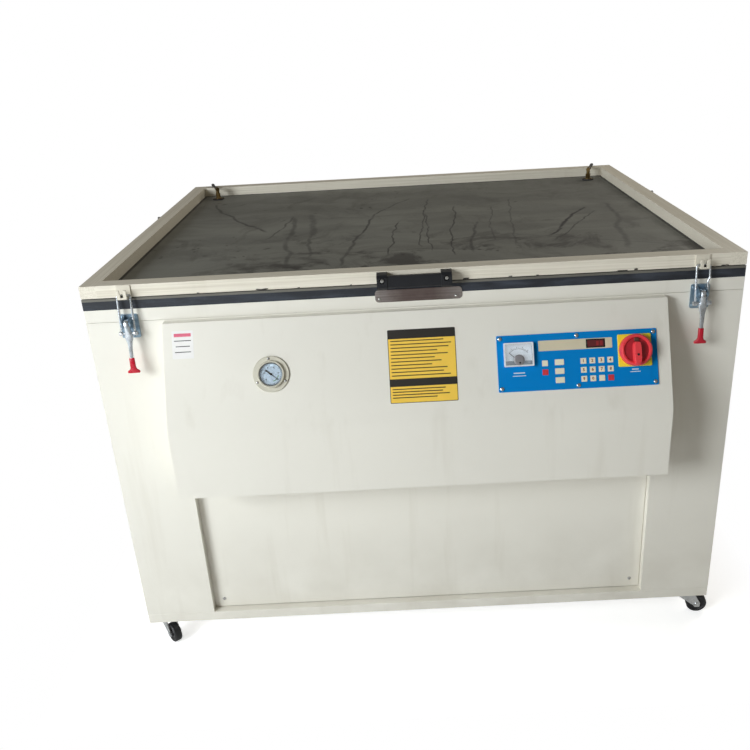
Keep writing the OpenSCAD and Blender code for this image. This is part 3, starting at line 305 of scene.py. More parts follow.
def sheet_rubber(name, colour, half_x, half_y, middle):
    """Dusty dark rubber: runs along its depth, wiped smears and stains near the front. A dark rim along the
    frame is partly the rubber's edge and partly painted shade of the gap, and painted light and shade make it
    lighter towards the left and darker towards the right and the rear.
    """
    finish = Finish(name, colour, 0.5)
    x, y, _ = finish.axes()
    shiver = finish.cloud(18.0, 4.0, 0.6) * 0.006 - 0.003
    wobble = finish.cloud(6.0, 3.0) * 0.07 - 0.035 + shiver
    marks = None
    for start, end, half, depth in RUNS:
        span = Vector(end) - Vector(start)
        ahead = span / span.length
        along = (x - start[0]) * ahead.x + (y - start[1]) * ahead.y
        aside = (y - start[1]) * ahead.x - (x - start[0]) * ahead.y + wobble
        run = abs(aside).ramp(half * MM, half * 0.3 * MM) * along.ramp(-0.012, 0.01)
        run = run * along.ramp(span.length + 0.012, span.length - 0.02) * depth
        marks = run if marks is None else marks.combine("MAXIMUM", run)
    broken = finish.cloud(16.0, 4.0, 0.7).ramp(0.3, 0.52)
    front = y.ramp(0.0, -0.36)
    eddy = finish.add("ShaderNodeTexNoise", Vector=finish.place, Scale=4.0).outputs["Color"]
    drift = finish.add("ShaderNodeVectorMath", {"operation": "SCALE"}, Vector=eddy, Scale=0.3)
    bend = finish.add("ShaderNodeVectorMath", {"operation": "ADD"})
    finish.feed(bend.inputs[0], finish.place)
    finish.feed(bend.inputs[1], drift.outputs[0])
    bent = bend.outputs[0]
    stains = finish.cloud(6.5, 7.0, 0.66, bent).ramp(0.52, 0.6) * (front * 0.85 + 0.25) * x.ramp(-0.6, -0.3)
    pools = finish.cloud(2.3, 5.0, 0.6, bent).ramp(0.52, 0.68)
    spots = finish.cells(24.0, bent).ramp(0.2, 0.1) * finish.cloud(3.4, 2.0).ramp(0.5, 0.62)
    dust = finish.cloud(8.0, 6.0, 0.62).ramp(0.34, 0.7)
    wipe = finish.cloud(3.0, 6.0, 0.6, finish.stretched((0.6, 3.6, 1.0), bent)).ramp(0.4, 0.6)
    slant = finish.cloud(4.5, 6.0, 0.68, finish.stretched((2.6, 0.6, 1.0), bent)).ramp(0.56, 0.68)
    speck = finish.cloud(190.0, 3.0, 0.7).ramp(0.35, 0.75)
    # Painted light and shade: the rubber is painted lighter towards the left and darker towards the right and
    # towards the rear
    left = x.ramp(-0.25, -0.62)
    far = y.ramp(0.05, 0.55)
    right = x.ramp(0.05, 0.6)
    # Painted shade along the frame: a dark band that is partly the rubber's own edge and partly painted shade
    # of the gap between blanket and frame
    dark_rim_and_painted_shade_x = (abs(x) + shiver * 0.3).ramp(half_x - 10 * MM, half_x - 6 * MM)
    dark_rim_and_painted_shade_y = (abs(y - middle) + shiver * 0.3).ramp(half_y - 10 * MM, half_y - 6 * MM)
    dark_rim_and_painted_shade = dark_rim_and_painted_shade_x.combine("MAXIMUM", dark_rim_and_painted_shade_y)
    tone = finish.layered(
        colour, (dust * 0.5, rgb(142, 142, 134)), (left * 0.3, rgb(140, 141, 136)),
        (far * 0.42, rgb(86, 86, 82)), (right * 0.3, rgb(84, 84, 81)), (wipe * 0.45, rgb(86, 86, 82)),
        (slant * 0.4, rgb(68, 65, 59)), (pools * 0.35, rgb(78, 75, 68)), (speck * 0.14, rgb(150, 150, 142)),
        ((stains * 0.75 + spots * 0.6).clamped(), rgb(46, 43, 40)),
        ((marks * (broken * 0.45 + 0.6)).clamped(), rgb(30, 28, 27)), (dark_rim_and_painted_shade * 0.9, rgb(26, 26, 27)))
    return finish.made(tone, 0.5 + dust * 0.2 - (marks + pools).clamped() * 0.15,
                       finish.cloud(160.0, 3.0) * 0.4 + marks * 0.5, 0.0012, 0.5)


def seal_rubber(name, colour):
    """Closed-cell sealing strip with a pale dusty bloom along its face."""
    finish = Finish(name, colour, 0.62)
    bloom = finish.cloud(14.0, 5.0, source=finish.stretched((1.0, 1.0, 6.0))).ramp(0.45, 0.75)
    speck = finish.cloud(300.0, 2.0).ramp(0.6, 0.75)
    return finish.made(finish.blend(bloom * 0.3 + speck * 0.08, colour, rgb(96, 104, 118)),
                       0.55 + bloom * 0.2, finish.cloud(500.0, 2.0), 0.0005, 0.5)


def plated(name, colour, roughness=0.3, tint=None, grain=(1.0, 1.0, 1.0), metallic=1.0):
    """Bright zinc or brushed steel with drawn grain and light tarnish."""
    finish = Finish(name, colour, roughness, Metallic=metallic)
    lines = finish.cloud(260.0, 3.0, source=finish.stretched(grain))
    tarnish = finish.cloud(45.0, 5.0, 0.65).ramp(0.48, 0.72)
    return finish.made(finish.blend(tarnish * 0.55, colour, tint or shade(colour, 0.6)),
                       lines * 0.18 + tarnish * 0.22 + roughness - 0.1, lines, 0.0002, 0.25)


def guard_steel(name, middle, half):
    """Worn brushed steel, drawn along its length, with a painted reflection that makes it paler towards both
    ends.
    """
    finish = Finish(name, rgb(132, 120, 116), 0.32, Metallic=1.0)
    lines = finish.cloud(300.0, 3.0, source=finish.stretched((0.03, 1.0, 1.0)))
    worn = finish.cloud(45.0, 5.0, 0.65).ramp(0.48, 0.72)
    # Painted reflection: the steel is painted paler towards both ends
    ends = abs(finish.axes()[0] - middle).ramp(half * 0.35, half * 1.05)
    tone = finish.layered(rgb(128, 114, 110), (ends * 0.8, rgb(196, 190, 186)),
                          (lines.ramp(0.35, 0.65) * 0.4, rgb(92, 82, 82)), (worn * 0.25, rgb(92, 78, 72)))
    return finish.made(tone, lines * 0.18 + worn * 0.2 + 0.24, lines, 0.0002, 0.25)


def brass_in_rubber(name, level):
    """Brass fitting with light tarnish. All below the level is its dark rubber washer."""
    brass = rgb(118, 98, 62)
    finish = Finish(name, brass, 0.3)
    stem = finish.axes()[2].ramp(level - 0.2 * MM, level + 0.2 * MM)
    tarnish = finish.cloud(70.0, 5.0, 0.65).ramp(0.42, 0.7)
    finish.feed(finish.shader.inputs["Metallic"], stem)
    worn = finish.blend(tarnish * 0.6, brass, rgb(70, 58, 40))
    return finish.made(finish.blend(stem, rgb(38, 40, 46), worn), 0.62 + stem * -0.3 + tarnish * 0.12,
                       tarnish, 0.0002, 0.3)


def moulded(name, colour, roughness=0.35, grain=900.0, depth=0.0002):
    """Moulded plastic with fine texture, faint flow marks and handling sheen."""
    finish = Finish(name, colour, roughness)
    flow = finish.cloud(26.0, 4.0, 0.6).ramp(0.35, 0.75)
    wear = finish.cloud(90.0, 4.0, 0.7).ramp(0.66, 0.78)
    tone = finish.layered(colour, (wear * 0.12, rgb(190, 185, 175)), (flow * 0.3, shade(colour, 0.8)))
    sheen = flow * 0.12 + wear * 0.2 + roughness - 0.05
    return finish.made(tone, sheen, finish.cloud(grain, 2.0), depth, 0.4)


def cast_paint(name, colour):
    """Painted casting or dark painted steel with a rough skin and rubbed spots."""
    finish = Finish(name, colour, 0.5)
    rubbed = finish.cloud(70.0, 5.0, 0.7).ramp(0.64, 0.74)
    dull = finish.cloud(12.0).ramp(0.4, 0.7)
    tone = finish.layered(colour, (dull * 0.4, shade(colour, 0.6)), (rubbed * 0.5, rgb(140, 140, 138)))
    return finish.made(tone, 0.45 + rubbed * -0.15, finish.cloud(350.0, 3.0), 0.0005, 0.5)


def clear(name, colour):
    """Window or plate glass with faint smears."""
    finish = Finish(name, colour, 0.03, Transmission_Weight=1.0)
    smear = finish.cloud(18.0, 4.0, source=finish.stretched((1.0, 3.0, 1.0))).ramp(0.5, 0.8)
    return finish.made(finish.blend(smear * 0.15, colour, shade(colour, 0.9)), 0.02 + smear * 0.05)


def printed_film(name, colour):
    """Blue printed membrane with a fine satin grain and a lighter worn band."""
    finish = Finish(name, colour, 0.6, Specular_IOR_Level=0.1)
    worn = finish.cloud(30.0, 4.0).ramp(0.45, 0.75)
    return finish.made(finish.blend(worn * 0.35, colour, rgb(20, 130, 200)),
                       0.56 + worn * 0.1, finish.cloud(1500.0, 1.0), 0.0001, 0.3)


def dial_card(name, matrix, radius):
    """Pressure dial: pale blue card with a scale of ticks, a green working arc and a painted shade ring at
    its edge where the bezel's shadow falls.
    """
    card = rgb(206, 222, 236)
    finish = Finish(name, card, 0.45)
    x, y, _ = finish.axes(finish.turned(matrix))
    reach = (x * x + y * y) ** 0.5 / radius
    swing = (x * -1.0).angle_to(y * -1.0) * (180 / math.pi) + 180.0
    scale = swing.between(45.0, 315.0)
    step = abs((swing % 5.4) - 2.7)
    long_step = abs((swing % 27.0) - 13.5)
    ticks = scale * (step > 2.15) * reach.between(0.80, 0.9)
    long_ticks = scale * (long_step > 12.8) * reach.between(0.74, 0.9)
    ring = scale * reach.between(0.885, 0.91)
    green = swing.between(100.0, 165.0) * reach.between(0.6, 0.68)
    mottle = finish.cloud(120.0, 3.0)
    # Painted shade: a dark ring round the card's edge, for the shadow of the bezel over the recessed dial
    dark_rim_and_painted_shade = reach.ramp(0.925, 0.955)
    return finish.made(finish.layered(card, (mottle * 0.2, rgb(196, 210, 218)), (green, rgb(120, 165, 120)),
                                      ((ticks + long_ticks + ring + dark_rim_and_painted_shade).clamped(), rgb(40, 48, 58))))


def meter_card(name, matrix):
    """Panel meter's card: white, with an arc scale round the hub below its middle."""
    card = rgb(244, 248, 252)
    finish = Finish(name, card, 0.4)
    x, y, _ = finish.axes(finish.turned(matrix))
    reach = (x * x + y * y) ** 0.5
    swing = y.angle_to(x) * (180 / math.pi)
    arc = swing.between(42.0, 138.0)
    line = arc * reach.between(0.0255, 0.0261)
    ticks = arc * (abs((swing % 4.8) - 2.4) > 2.0) * reach.between(0.0255, 0.0285)
    long_ticks = arc * (abs((swing % 24.0) - 12.0) > 11.4) * reach.between(0.0255, 0.031)
    return finish.made(finish.layered(card, (finish.cloud(90.0) * 0.15, rgb(205, 212, 216)),
                                      ((line + ticks + long_ticks).clamped(), rgb(30, 32, 36))))


# Mesh tools, each working on the active object as by hand, in metres. Only slab, plate, disc, lathe, lofted
# and the tools for the console's slope take millimetres.


def alone(piece=None):
    if bpy.context.object and bpy.context.object.mode != "OBJECT":
        bpy.ops.object.mode_set(mode="OBJECT")
    bpy.ops.object.select_all(action="DESELECT")
    if piece is not None:
        piece.select_set(True)
        bpy.context.view_layer.objects.active = piece
    return piece


@contextmanager
def editing(select="SELECT", mode=None):
    """Edit mode of the active piece, with all of it selected at first."""
    bpy.ops.object.mode_set(mode="EDIT")
    if mode:
        bpy.ops.mesh.select_mode(type=mode)
    bpy.ops.mesh.select_all(action=select)
    yield
    bpy.ops.object.mode_set(mode="OBJECT")


def smooth(degrees):
    bpy.ops.object.shade_smooth_by_angle(angle=math.radians(degrees))


def modified(piece, kind, **values):
    """The piece, active and with one modifier applied to it."""
    alone(piece)
    modifier = piece.modifiers.new(kind, kind)
    for name, value in values.items():
        setattr(modifier, name, value)
    bpy.ops.object.modifier_apply(modifier=modifier.name)
    return piece


def round_edges(piece, width, segments=2):
    """Rounds the edges of a piece."""
    modified(piece, "BEVEL", width=width, segments=segments, limit_method="ANGLE",
             angle_limit=math.radians(35), use_clamp_overlap=True, harden_normals=False)
    smooth(40)
    return modified(piece, "WEIGHTED_NORMAL", weight=100, keep_sharp=True)


def settle(piece, matrix=None):
    """Puts the place into the mesh and leaves the object at the origin."""
    alone(piece)
    if matrix is not None:
        piece.matrix_world = matrix @ piece.matrix_world
    bpy.ops.object.transform_apply(location=True, rotation=True, scale=True)
    return piece


def finish_with(piece, material):
    piece.data.materials.clear()
    piece.data.materials.append(material)
    return piece


def dress(material, *nodes):
    for node in nodes:
        finish_with(NODES[node], material)


def attach(piece, name, material, body, *nodes, slot=None):
    piece.name = name
    piece.data.name = name
    if material is not None:
        finish_with(piece, material)
    if nodes:
        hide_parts(*nodes)
    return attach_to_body(piece, body)


def slab(width, depth, height, centre=(0, 0, 0), edge=0.0, segments=2):
    """A plate or block with eased edges."""
    alone()
    bpy.ops.mesh.primitive_cube_add(size=1.0, location=[along * MM for along in centre])
    piece = bpy.context.object
    piece.scale = (width * MM, depth * MM, height * MM)
    settle(piece)
    return round_edges(piece, edge * MM, segments) if edge else piece


def plate(width, height, thickness, corner):
    """A flat plate on z = 0 with round corners."""
    piece = slab(width, height, thickness, (0, 0, thickness / 2))
    alone(piece)
    with editing("DESELECT", "EDGE"):
        pass
    for side in piece.data.edges:
        ends = [piece.data.vertices[i].co for i in side.vertices]
        side.select = abs(ends[0].z - ends[1].z) > thickness * MM / 2
    bpy.ops.object.mode_set(mode="EDIT")
    bpy.ops.mesh.bevel(offset=corner * MM, segments=5, affect="EDGES")
    bpy.ops.object.mode_set(mode="OBJECT")
    return piece


def disc(radius, thickness, edge=0.0, sides=48):
    alone()
    bpy.ops.mesh.primitive_cylinder_add(vertices=sides, radius=radius * MM, depth=thickness * MM,
                                        location=(0, 0, thickness / 2 * MM))
    piece = settle(bpy.context.object)
    return round_edges(piece, edge * MM) if edge else piece


def drawn(points):
    """A line of edges through points, drawn by extruding one corner."""
    alone()
    bpy.ops.mesh.primitive_plane_add(size=1.0, location=(0, 0, 0))
    with editing(mode="VERT"):
        bpy.ops.mesh.merge(type="CENTER")
        bpy.ops.transform.translate(value=Vector(points[0]))
        for before, after in zip(points, points[1:]):
            step = Vector(after) - Vector(before)
            bpy.ops.mesh.extrude_region_move(TRANSFORM_OT_translate={"value": step})
    return bpy.context.object


def lathe(outline, steps=64):
    """A turned piece from (radius, height) points, closed where it meets the axis."""
    piece = drawn([(radius * MM, 0, height * MM) for radius, height in outline])
    modified(piece, "SCREW", steps=steps, render_steps=steps, use_merge_vertices=True, merge_threshold=1e-5)
    with editing():
        bpy.ops.mesh.remove_doubles(threshold=1e-6)
        bpy.ops.mesh.fill_holes(sides=0)
        bpy.ops.mesh.normals_make_consistent(inside=False)
    smooth(35)
    return piece


def lofted(sections, sides=20, front=0.0):
    """A bar through sections (x, y, z, half width, half depth), extruded ring by ring.

    The y of a section is counted from the front, which is given in metres.
    """
    rings = [((x * MM, front + y * MM, z * MM), width * MM, depth * MM) for x, y, z, width, depth in sections]
    alone()
    centre, width, depth = rings[0]
    bpy.ops.mesh.primitive_circle_add(vertices=sides, radius=1.0, fill_type="NGON", location=(0, 0, 0))
    piece = bpy.context.object
    for vertex in piece.data.vertices:
        angle = math.atan2(vertex.co.y, vertex.co.x)
        squared = [math.copysign(abs(c) ** 0.55, c) for c in (math.cos(angle), math.sin(angle))]
        vertex.co = Vector((centre[0] + width * squared[0], centre[1] + depth * squared[1], centre[2]))
    with editing():
        for before, after in zip(rings, rings[1:]):
            step = Vector(after[0]) - Vector(before[0])
            bpy.ops.mesh.extrude_region_move(TRANSFORM_OT_translate={"value": step})
            grow = (after[1] / before[1], after[2] / before[2], 1.0)
            bpy.ops.transform.resize(value=grow, center_override=after[0])
        bpy.ops.mesh.select_all(action="SELECT")
        bpy.ops.mesh.normals_make_consistent(inside=False)
    smooth(50)
    return piece


def wire(points, radius):
    """A round wire or hose through points, as a mesh."""
    alone(drawn(points))
    bpy.ops.object.convert(target="CURVE")
    curve = bpy.context.object.data
    curve.dimensions = "3D"
    curve.bevel_depth = radius
    curve.bevel_resolution = 3
    curve.use_fill_caps = True
    bpy.ops.object.convert(target="MESH")
    smooth(50)
    return bpy.context.object


def round_corner(before, corner, after, radius, steps=6):
    """Points of the bend at one corner of a wire."""
    start = corner + (before - corner).normalized() * radius
    end = corner + (after - corner).normalized() * radius
    return [start.lerp(corner, t).lerp(corner.lerp(end, t), t) for t in [i / steps for i in range(steps + 1)]]


def lettering(text, size, thickness, matrix):
    """A number as a mesh."""
    alone()
    bpy.ops.object.text_add()
    piece = bpy.context.object
    piece.data.body = text
    piece.data.size = size
    piece.data.extrude = thickness / 2
    piece.data.align_x = "CENTER"
    piece.data.align_y = "CENTER"
    piece.data.resolution_u = 3
    piece.data.offset = size * 0.035
    bpy.ops.object.convert(target="MESH")
    return settle(bpy.context.object, matrix)


def joined(pieces):
    alone()
    for piece in pieces:
        piece.select_set(True)
    bpy.context.view_layer.objects.active = pieces[0]
    bpy.ops.object.join()
    return bpy.context.object


def duplicate(piece):
    copy = piece.copy()
    copy.data = piece.data.copy()
    bpy.context.scene.collection.objects.link(copy)
    return copy


def copies(piece, places):
    """The piece at each place, joined into one object."""
    made = [settle(duplicate(piece), matrix) for matrix in places]
    bpy.data.objects.remove(piece)
    return joined(made)


def eased(node, width, segments=2, material=None):
    """A copy of a CAD node with its folded or cut edges eased, in place of the node."""
    piece = duplicate(NODES[node])
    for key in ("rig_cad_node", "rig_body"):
        if key in piece:
            del piece[key]
    piece.parent = None
    alone(piece)
    with editing():
        bpy.ops.mesh.remove_doubles(threshold=5e-6)
        bpy.ops.mesh.dissolve_limited(angle_limit=math.radians(0.5))
    round_edges(piece, width, segments)
    return attach(piece, node + "_eased", material, BODY_OF[node], node)


def facing_front(x, y, z):
    """Place of a piece that points out of the front."""
    return Matrix.Translation((x, y, z)) @ Matrix.Rotation(math.pi / 2, 4, "X")


def on_slope(x, down, out=0.0):
    """Place on the console's slope: to the right, down and out of it. The y of a piece runs up the slope."""
    tilt = Matrix.Rotation(math.pi / 2 - SLOPE_ANGLE, 4, "X")
    top = Matrix.Translation((x * MM, FRONT - CONSOLE_TOP_REACH, COVER_HIGH.z))
    return top @ tilt @ Matrix.Translation((0, -down * MM, out * MM))


def fix(piece, name, material, slot, x, down, out=0.0, body="cabinet"):
    """Puts a piece on the console's slope."""
    return attach(settle(piece, on_slope(x, down, out)), name, material, body, slot=slot)


def printed_bars(name, material, slot, thickness, corner, out, bars):
    """Printed bars in one piece, each from its x, how far down it is, its width and its height."""
    pieces = [settle(plate(width, height, thickness, corner), on_slope(x, down, out))
              for x, down, width, height in bars]
    return attach(joined(pieces), name, material, "cabinet", slot=slot)


# Settings that a user would change


def colour_setting(name, description, colour):
    return FloatVectorProperty(name=name, description=description, default=colour[:3], size=3, min=0, max=1,
                               subtype="COLOR")


def length_setting(name, description, size, low, high):
    return FloatProperty(name=name, description=description, default=size * MM, min=low * MM, max=high * MM,
                         unit="LENGTH")


class PaintSettings(bpy.types.PropertyGroup):
    cream: colour_setting("Cream", "Powder coat of the cabinet and lid", rgb(239, 236, 226))
    edge: length_setting("Fold radius", "Radius of the folded and welded edges", 2.2, 0.5, 6)


class BlanketSettings(bpy.types.PropertyGroup):
    colour: colour_setting("Rubber", "Colour of the vacuum blanket", rgb(126, 127, 121))
    ripple: length_setting("Ripple", "Height of the soft ripples in the blanket", 2.6, 0, 8)
    rows: IntProperty(name="Rows", description="Rows of faces across the blanket", default=150, min=20,
                      max=400)


class ControlSettings(bpy.types.PropertyGroup):
    panel: colour_setting("Panel", "Blue of the control plate", rgb(0, 132, 210))
    key: colour_setting("Key", "Cream of the keys", rgb(244, 238, 212))
    red: colour_setting("Red", "Red of the red keys", rgb(214, 58, 66))
    digit: length_setting("Digit size", "Height of the numbers on the keys", 8.6, 3, 12)


class LatchSettings(bpy.types.PropertyGroup):
    wire: length_setting("Wire radius", "Radius of the latch bar wire", 2.5, 1, 4)
    grip: colour_setting("Grip", "Colour of the lever grips", rgb(196, 24, 48))


class StageSettings(bpy.types.PropertyGroup):
    key_light: FloatProperty(name="Key light", description="Power of the main lamp", default=123.5, min=0,
                             max=1000, unit="POWER")
    fill: FloatProperty(name="Fill", description="Strength of the light from all around", default=0.08, min=0,
                        max=2)


# The pieces, one operator each


class UNIT_OT_shell(bpy.types.Operator):
    """Paint the cabinet, lid and console, with their folded edges eased. The lid's tubes take a warmer copy
    of the cream as painted warm shade
    """

    bl_idname = "unit.shell"
    bl_label = "Cabinet, lid and console"

    def execute(self, context):
        settings = context.scene.unit_paint
        red, green, blue = settings.cream
        paint = powder_coat("cream powder coat", (red, green, blue, 1.0))
        # Painted warm shade: the lid's tubes get the same cream with less green and blue
        shade_warmed_cream = (red, green * 0.972, blue * 0.92, 1.0)
        eased("lid_frame", settings.edge, 3, powder_coat("cream powder coat on tube warmed as painted shade", shade_warmed_cream, 0.3))
        for node in ("top_frame", "base_frame", "console_cover", "side_panels"):
            eased(node, settings.edge, 3, paint)
        eased("front_fascia", 1.0 * MM, 3, paint)
        dress(paint, "rear_panel", "access_panel")
        dress(seal_rubber("sealing strip", rgb(31, 35, 43)), "gasket")
        dress(cast_paint("dull clamping strip", rgb(112, 110, 102)), "blanket_strips")
        return {"FINISHED"}


class UNIT_OT_blanket(bpy.types.Operator):
    """Lay the rubber blanket in the lid, with its ripples and run marks"""

    bl_idname = "unit.blanket"
    bl_label = "Rubber blanket"

    clamped = 40 * MM
    free_from = 0.12
    flat_round_nipple = 0.05
    nipple = Vector((0.607, 0.496))
    sag = 2.4 * MM
    fold_height = 1.1 * MM

    def lift(self, x, y, ripple):
        """Height of the free rubber over its flat plane."""
        soft = noise.noise(Vector((x * 2.1, y * 1.7, 0.3)))
        soft += 0.5 * noise.noise(Vector((x * 6.0, y * 4.5, 2.0)))
        fold = 1 - min(abs(noise.noise(Vector((x * 1.3 + 4, y * 3.4, 1.0)))) * 5, 1.0)
        near = min((Vector((abs(x), y)) - self.nipple).length / self.flat_round_nipple, 1.0)
        return near * (ripple * soft - self.sag + self.fold_height * fold)

    def execute(self, context):
        settings = context.scene.unit_blanket
        low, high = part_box("rubber_blanket")
        width, depth = high.x - low.x, high.y - low.y
        middle = (low.y + high.y) / 2
        alone()
        bpy.ops.mesh.primitive_grid_add(x_subdivisions=settings.rows, y_subdivisions=settings.rows, size=1.0)
        piece = bpy.context.object
        piece.scale = (width, depth, 1.0)
        piece.location = ((low.x + high.x) / 2, middle, high.z)
        settle(piece)
        for vertex in piece.data.vertices:
            x, y = vertex.co.x, vertex.co.y - middle
            inside = min(width / 2 - self.clamped - abs(x), depth / 2 - self.clamped - abs(y))
            hold = min(max(inside / self.free_from, 0.0), 1.0)
            vertex.co.z += hold * self.lift(x, y, settings.ripple)
        modified(piece, "SOLIDIFY", thickness=2 * MM, offset=-1.0)
        smooth(50)
        rubber = sheet_rubber("dusty blanket rubber with painted light and shade", (*settings.colour, 1.0), width / 2 - 34 * MM,
                              depth / 2 - 34 * MM, middle)
        attach(piece, "rubber_blanket_sheet", rubber, "lid", "rubber_blanket", slot="blanket_rubber")
        return {"FINISHED"}


class UNIT_OT_trimmings(bpy.types.Operator):
    """Leave the torn edge of the blanket and beads of old glue along the lid seam"""

    bl_idname = "unit.trimmings"
    bl_label = "Seam trimmings"

    # Place along the seam, width and height in millimetres
    flakes = ((-318, 26, 2.4), (-240, 5, 1.6), (-130, 4, 1.4), (112, 12, 3.0), (205, 8, 2.2), (262, 5, 1.4),
              (468, 7, 3.2), (440, 22, 1.4), (-452, 6, 1.3), (655, 16, 1.8))

    def execute(self, context):
        face, seam = LID_LOW.y / MM - 0.8, LID_LOW.z / MM + 0.4
        pieces = []
        for x, width, height in self.flakes:
            flake = slab(width, 1.4, height, (x, face, seam + height / 2))
            alone(flake)
            with editing():
                bpy.ops.mesh.subdivide(number_cuts=3)
                bpy.ops.mesh.vertices_smooth(factor=0.5, repeat=2)
            for vertex in flake.data.vertices:
                wander = noise.noise(vertex.co * 240.0)
                vertex.co.z += wander * height * 0.5 * MM
                vertex.co.x += wander * width * 0.12 * MM
            pieces.append(flake)
        dark = moulded("torn rubber", rgb(58, 54, 50), 0.6, 400.0)
        attach(joined(pieces), "seam_trimmings", dark, "lid", slot="seal_rubber")
        return {"FINISHED"}


class UNIT_OT_glass(bpy.types.Operator):
    """Finish the glass bed and the instrument windows"""

    bl_idname = "unit.glass"
    bl_label = "Glass"

    def execute(self, context):
        dress(clear("float glass", rgb(214, 240, 232)), "glass_plate")
        dress(clear("instrument window", rgb(245, 248, 250)), "instrument_windows")
        return {"FINISHED"}


class UNIT_OT_handle(bpy.types.Operator):
    """Finish the lid handle and the worn steel plate under it"""

    bl_idname = "unit.handle"
    bl_label = "Handle and guard plate"

    def execute(self, context):
        eased("lid_handle", 1.6 * MM, 3, moulded("satin black handle", rgb(19, 21, 27), 0.42, 700.0))
        screw = plated("bright screw", rgb(200, 200, 198), 0.25)
        low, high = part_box("lid_handle")
        cap = lathe([(0, 4.2), (1.6, 4.2), (1.7, 5.8), (3.6, 5.6), (4.8, 4.4), (5.0, 3.2), (5.0, 0)], 32)
        places = [facing_front(x, low.y + 6.9 * MM, (LID_LOW.z + LID_HIGH.z) / 2)
                  for x in (low.x + 11 * MM, high.x - 11 * MM)]
        attach(copies(cap, places), "handle_screw_heads", screw, "lid", slot="bright_zinc")
        low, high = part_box("guard_plate")
        steel = guard_steel("worn guard steel with painted reflection", (low.x + high.x) / 2, (high.x - low.x) / 2)
        eased("guard_plate", 0.4 * MM, 2, steel)
        rivet = lathe([(0, 1.9), (1.6, 1.6), (3.1, 0.3), (3.2, 0)], 24)
        places = [facing_front(x, low.y + 1.2 * MM, (low.z + high.z) / 2 - 6.5 * MM)
                  for x in (low.x + 9 * MM, high.x - 13 * MM)]
        attach(copies(rivet, places), "guard_rivets", screw, "cabinet", slot="bright_zinc")
        return {"FINISHED"}


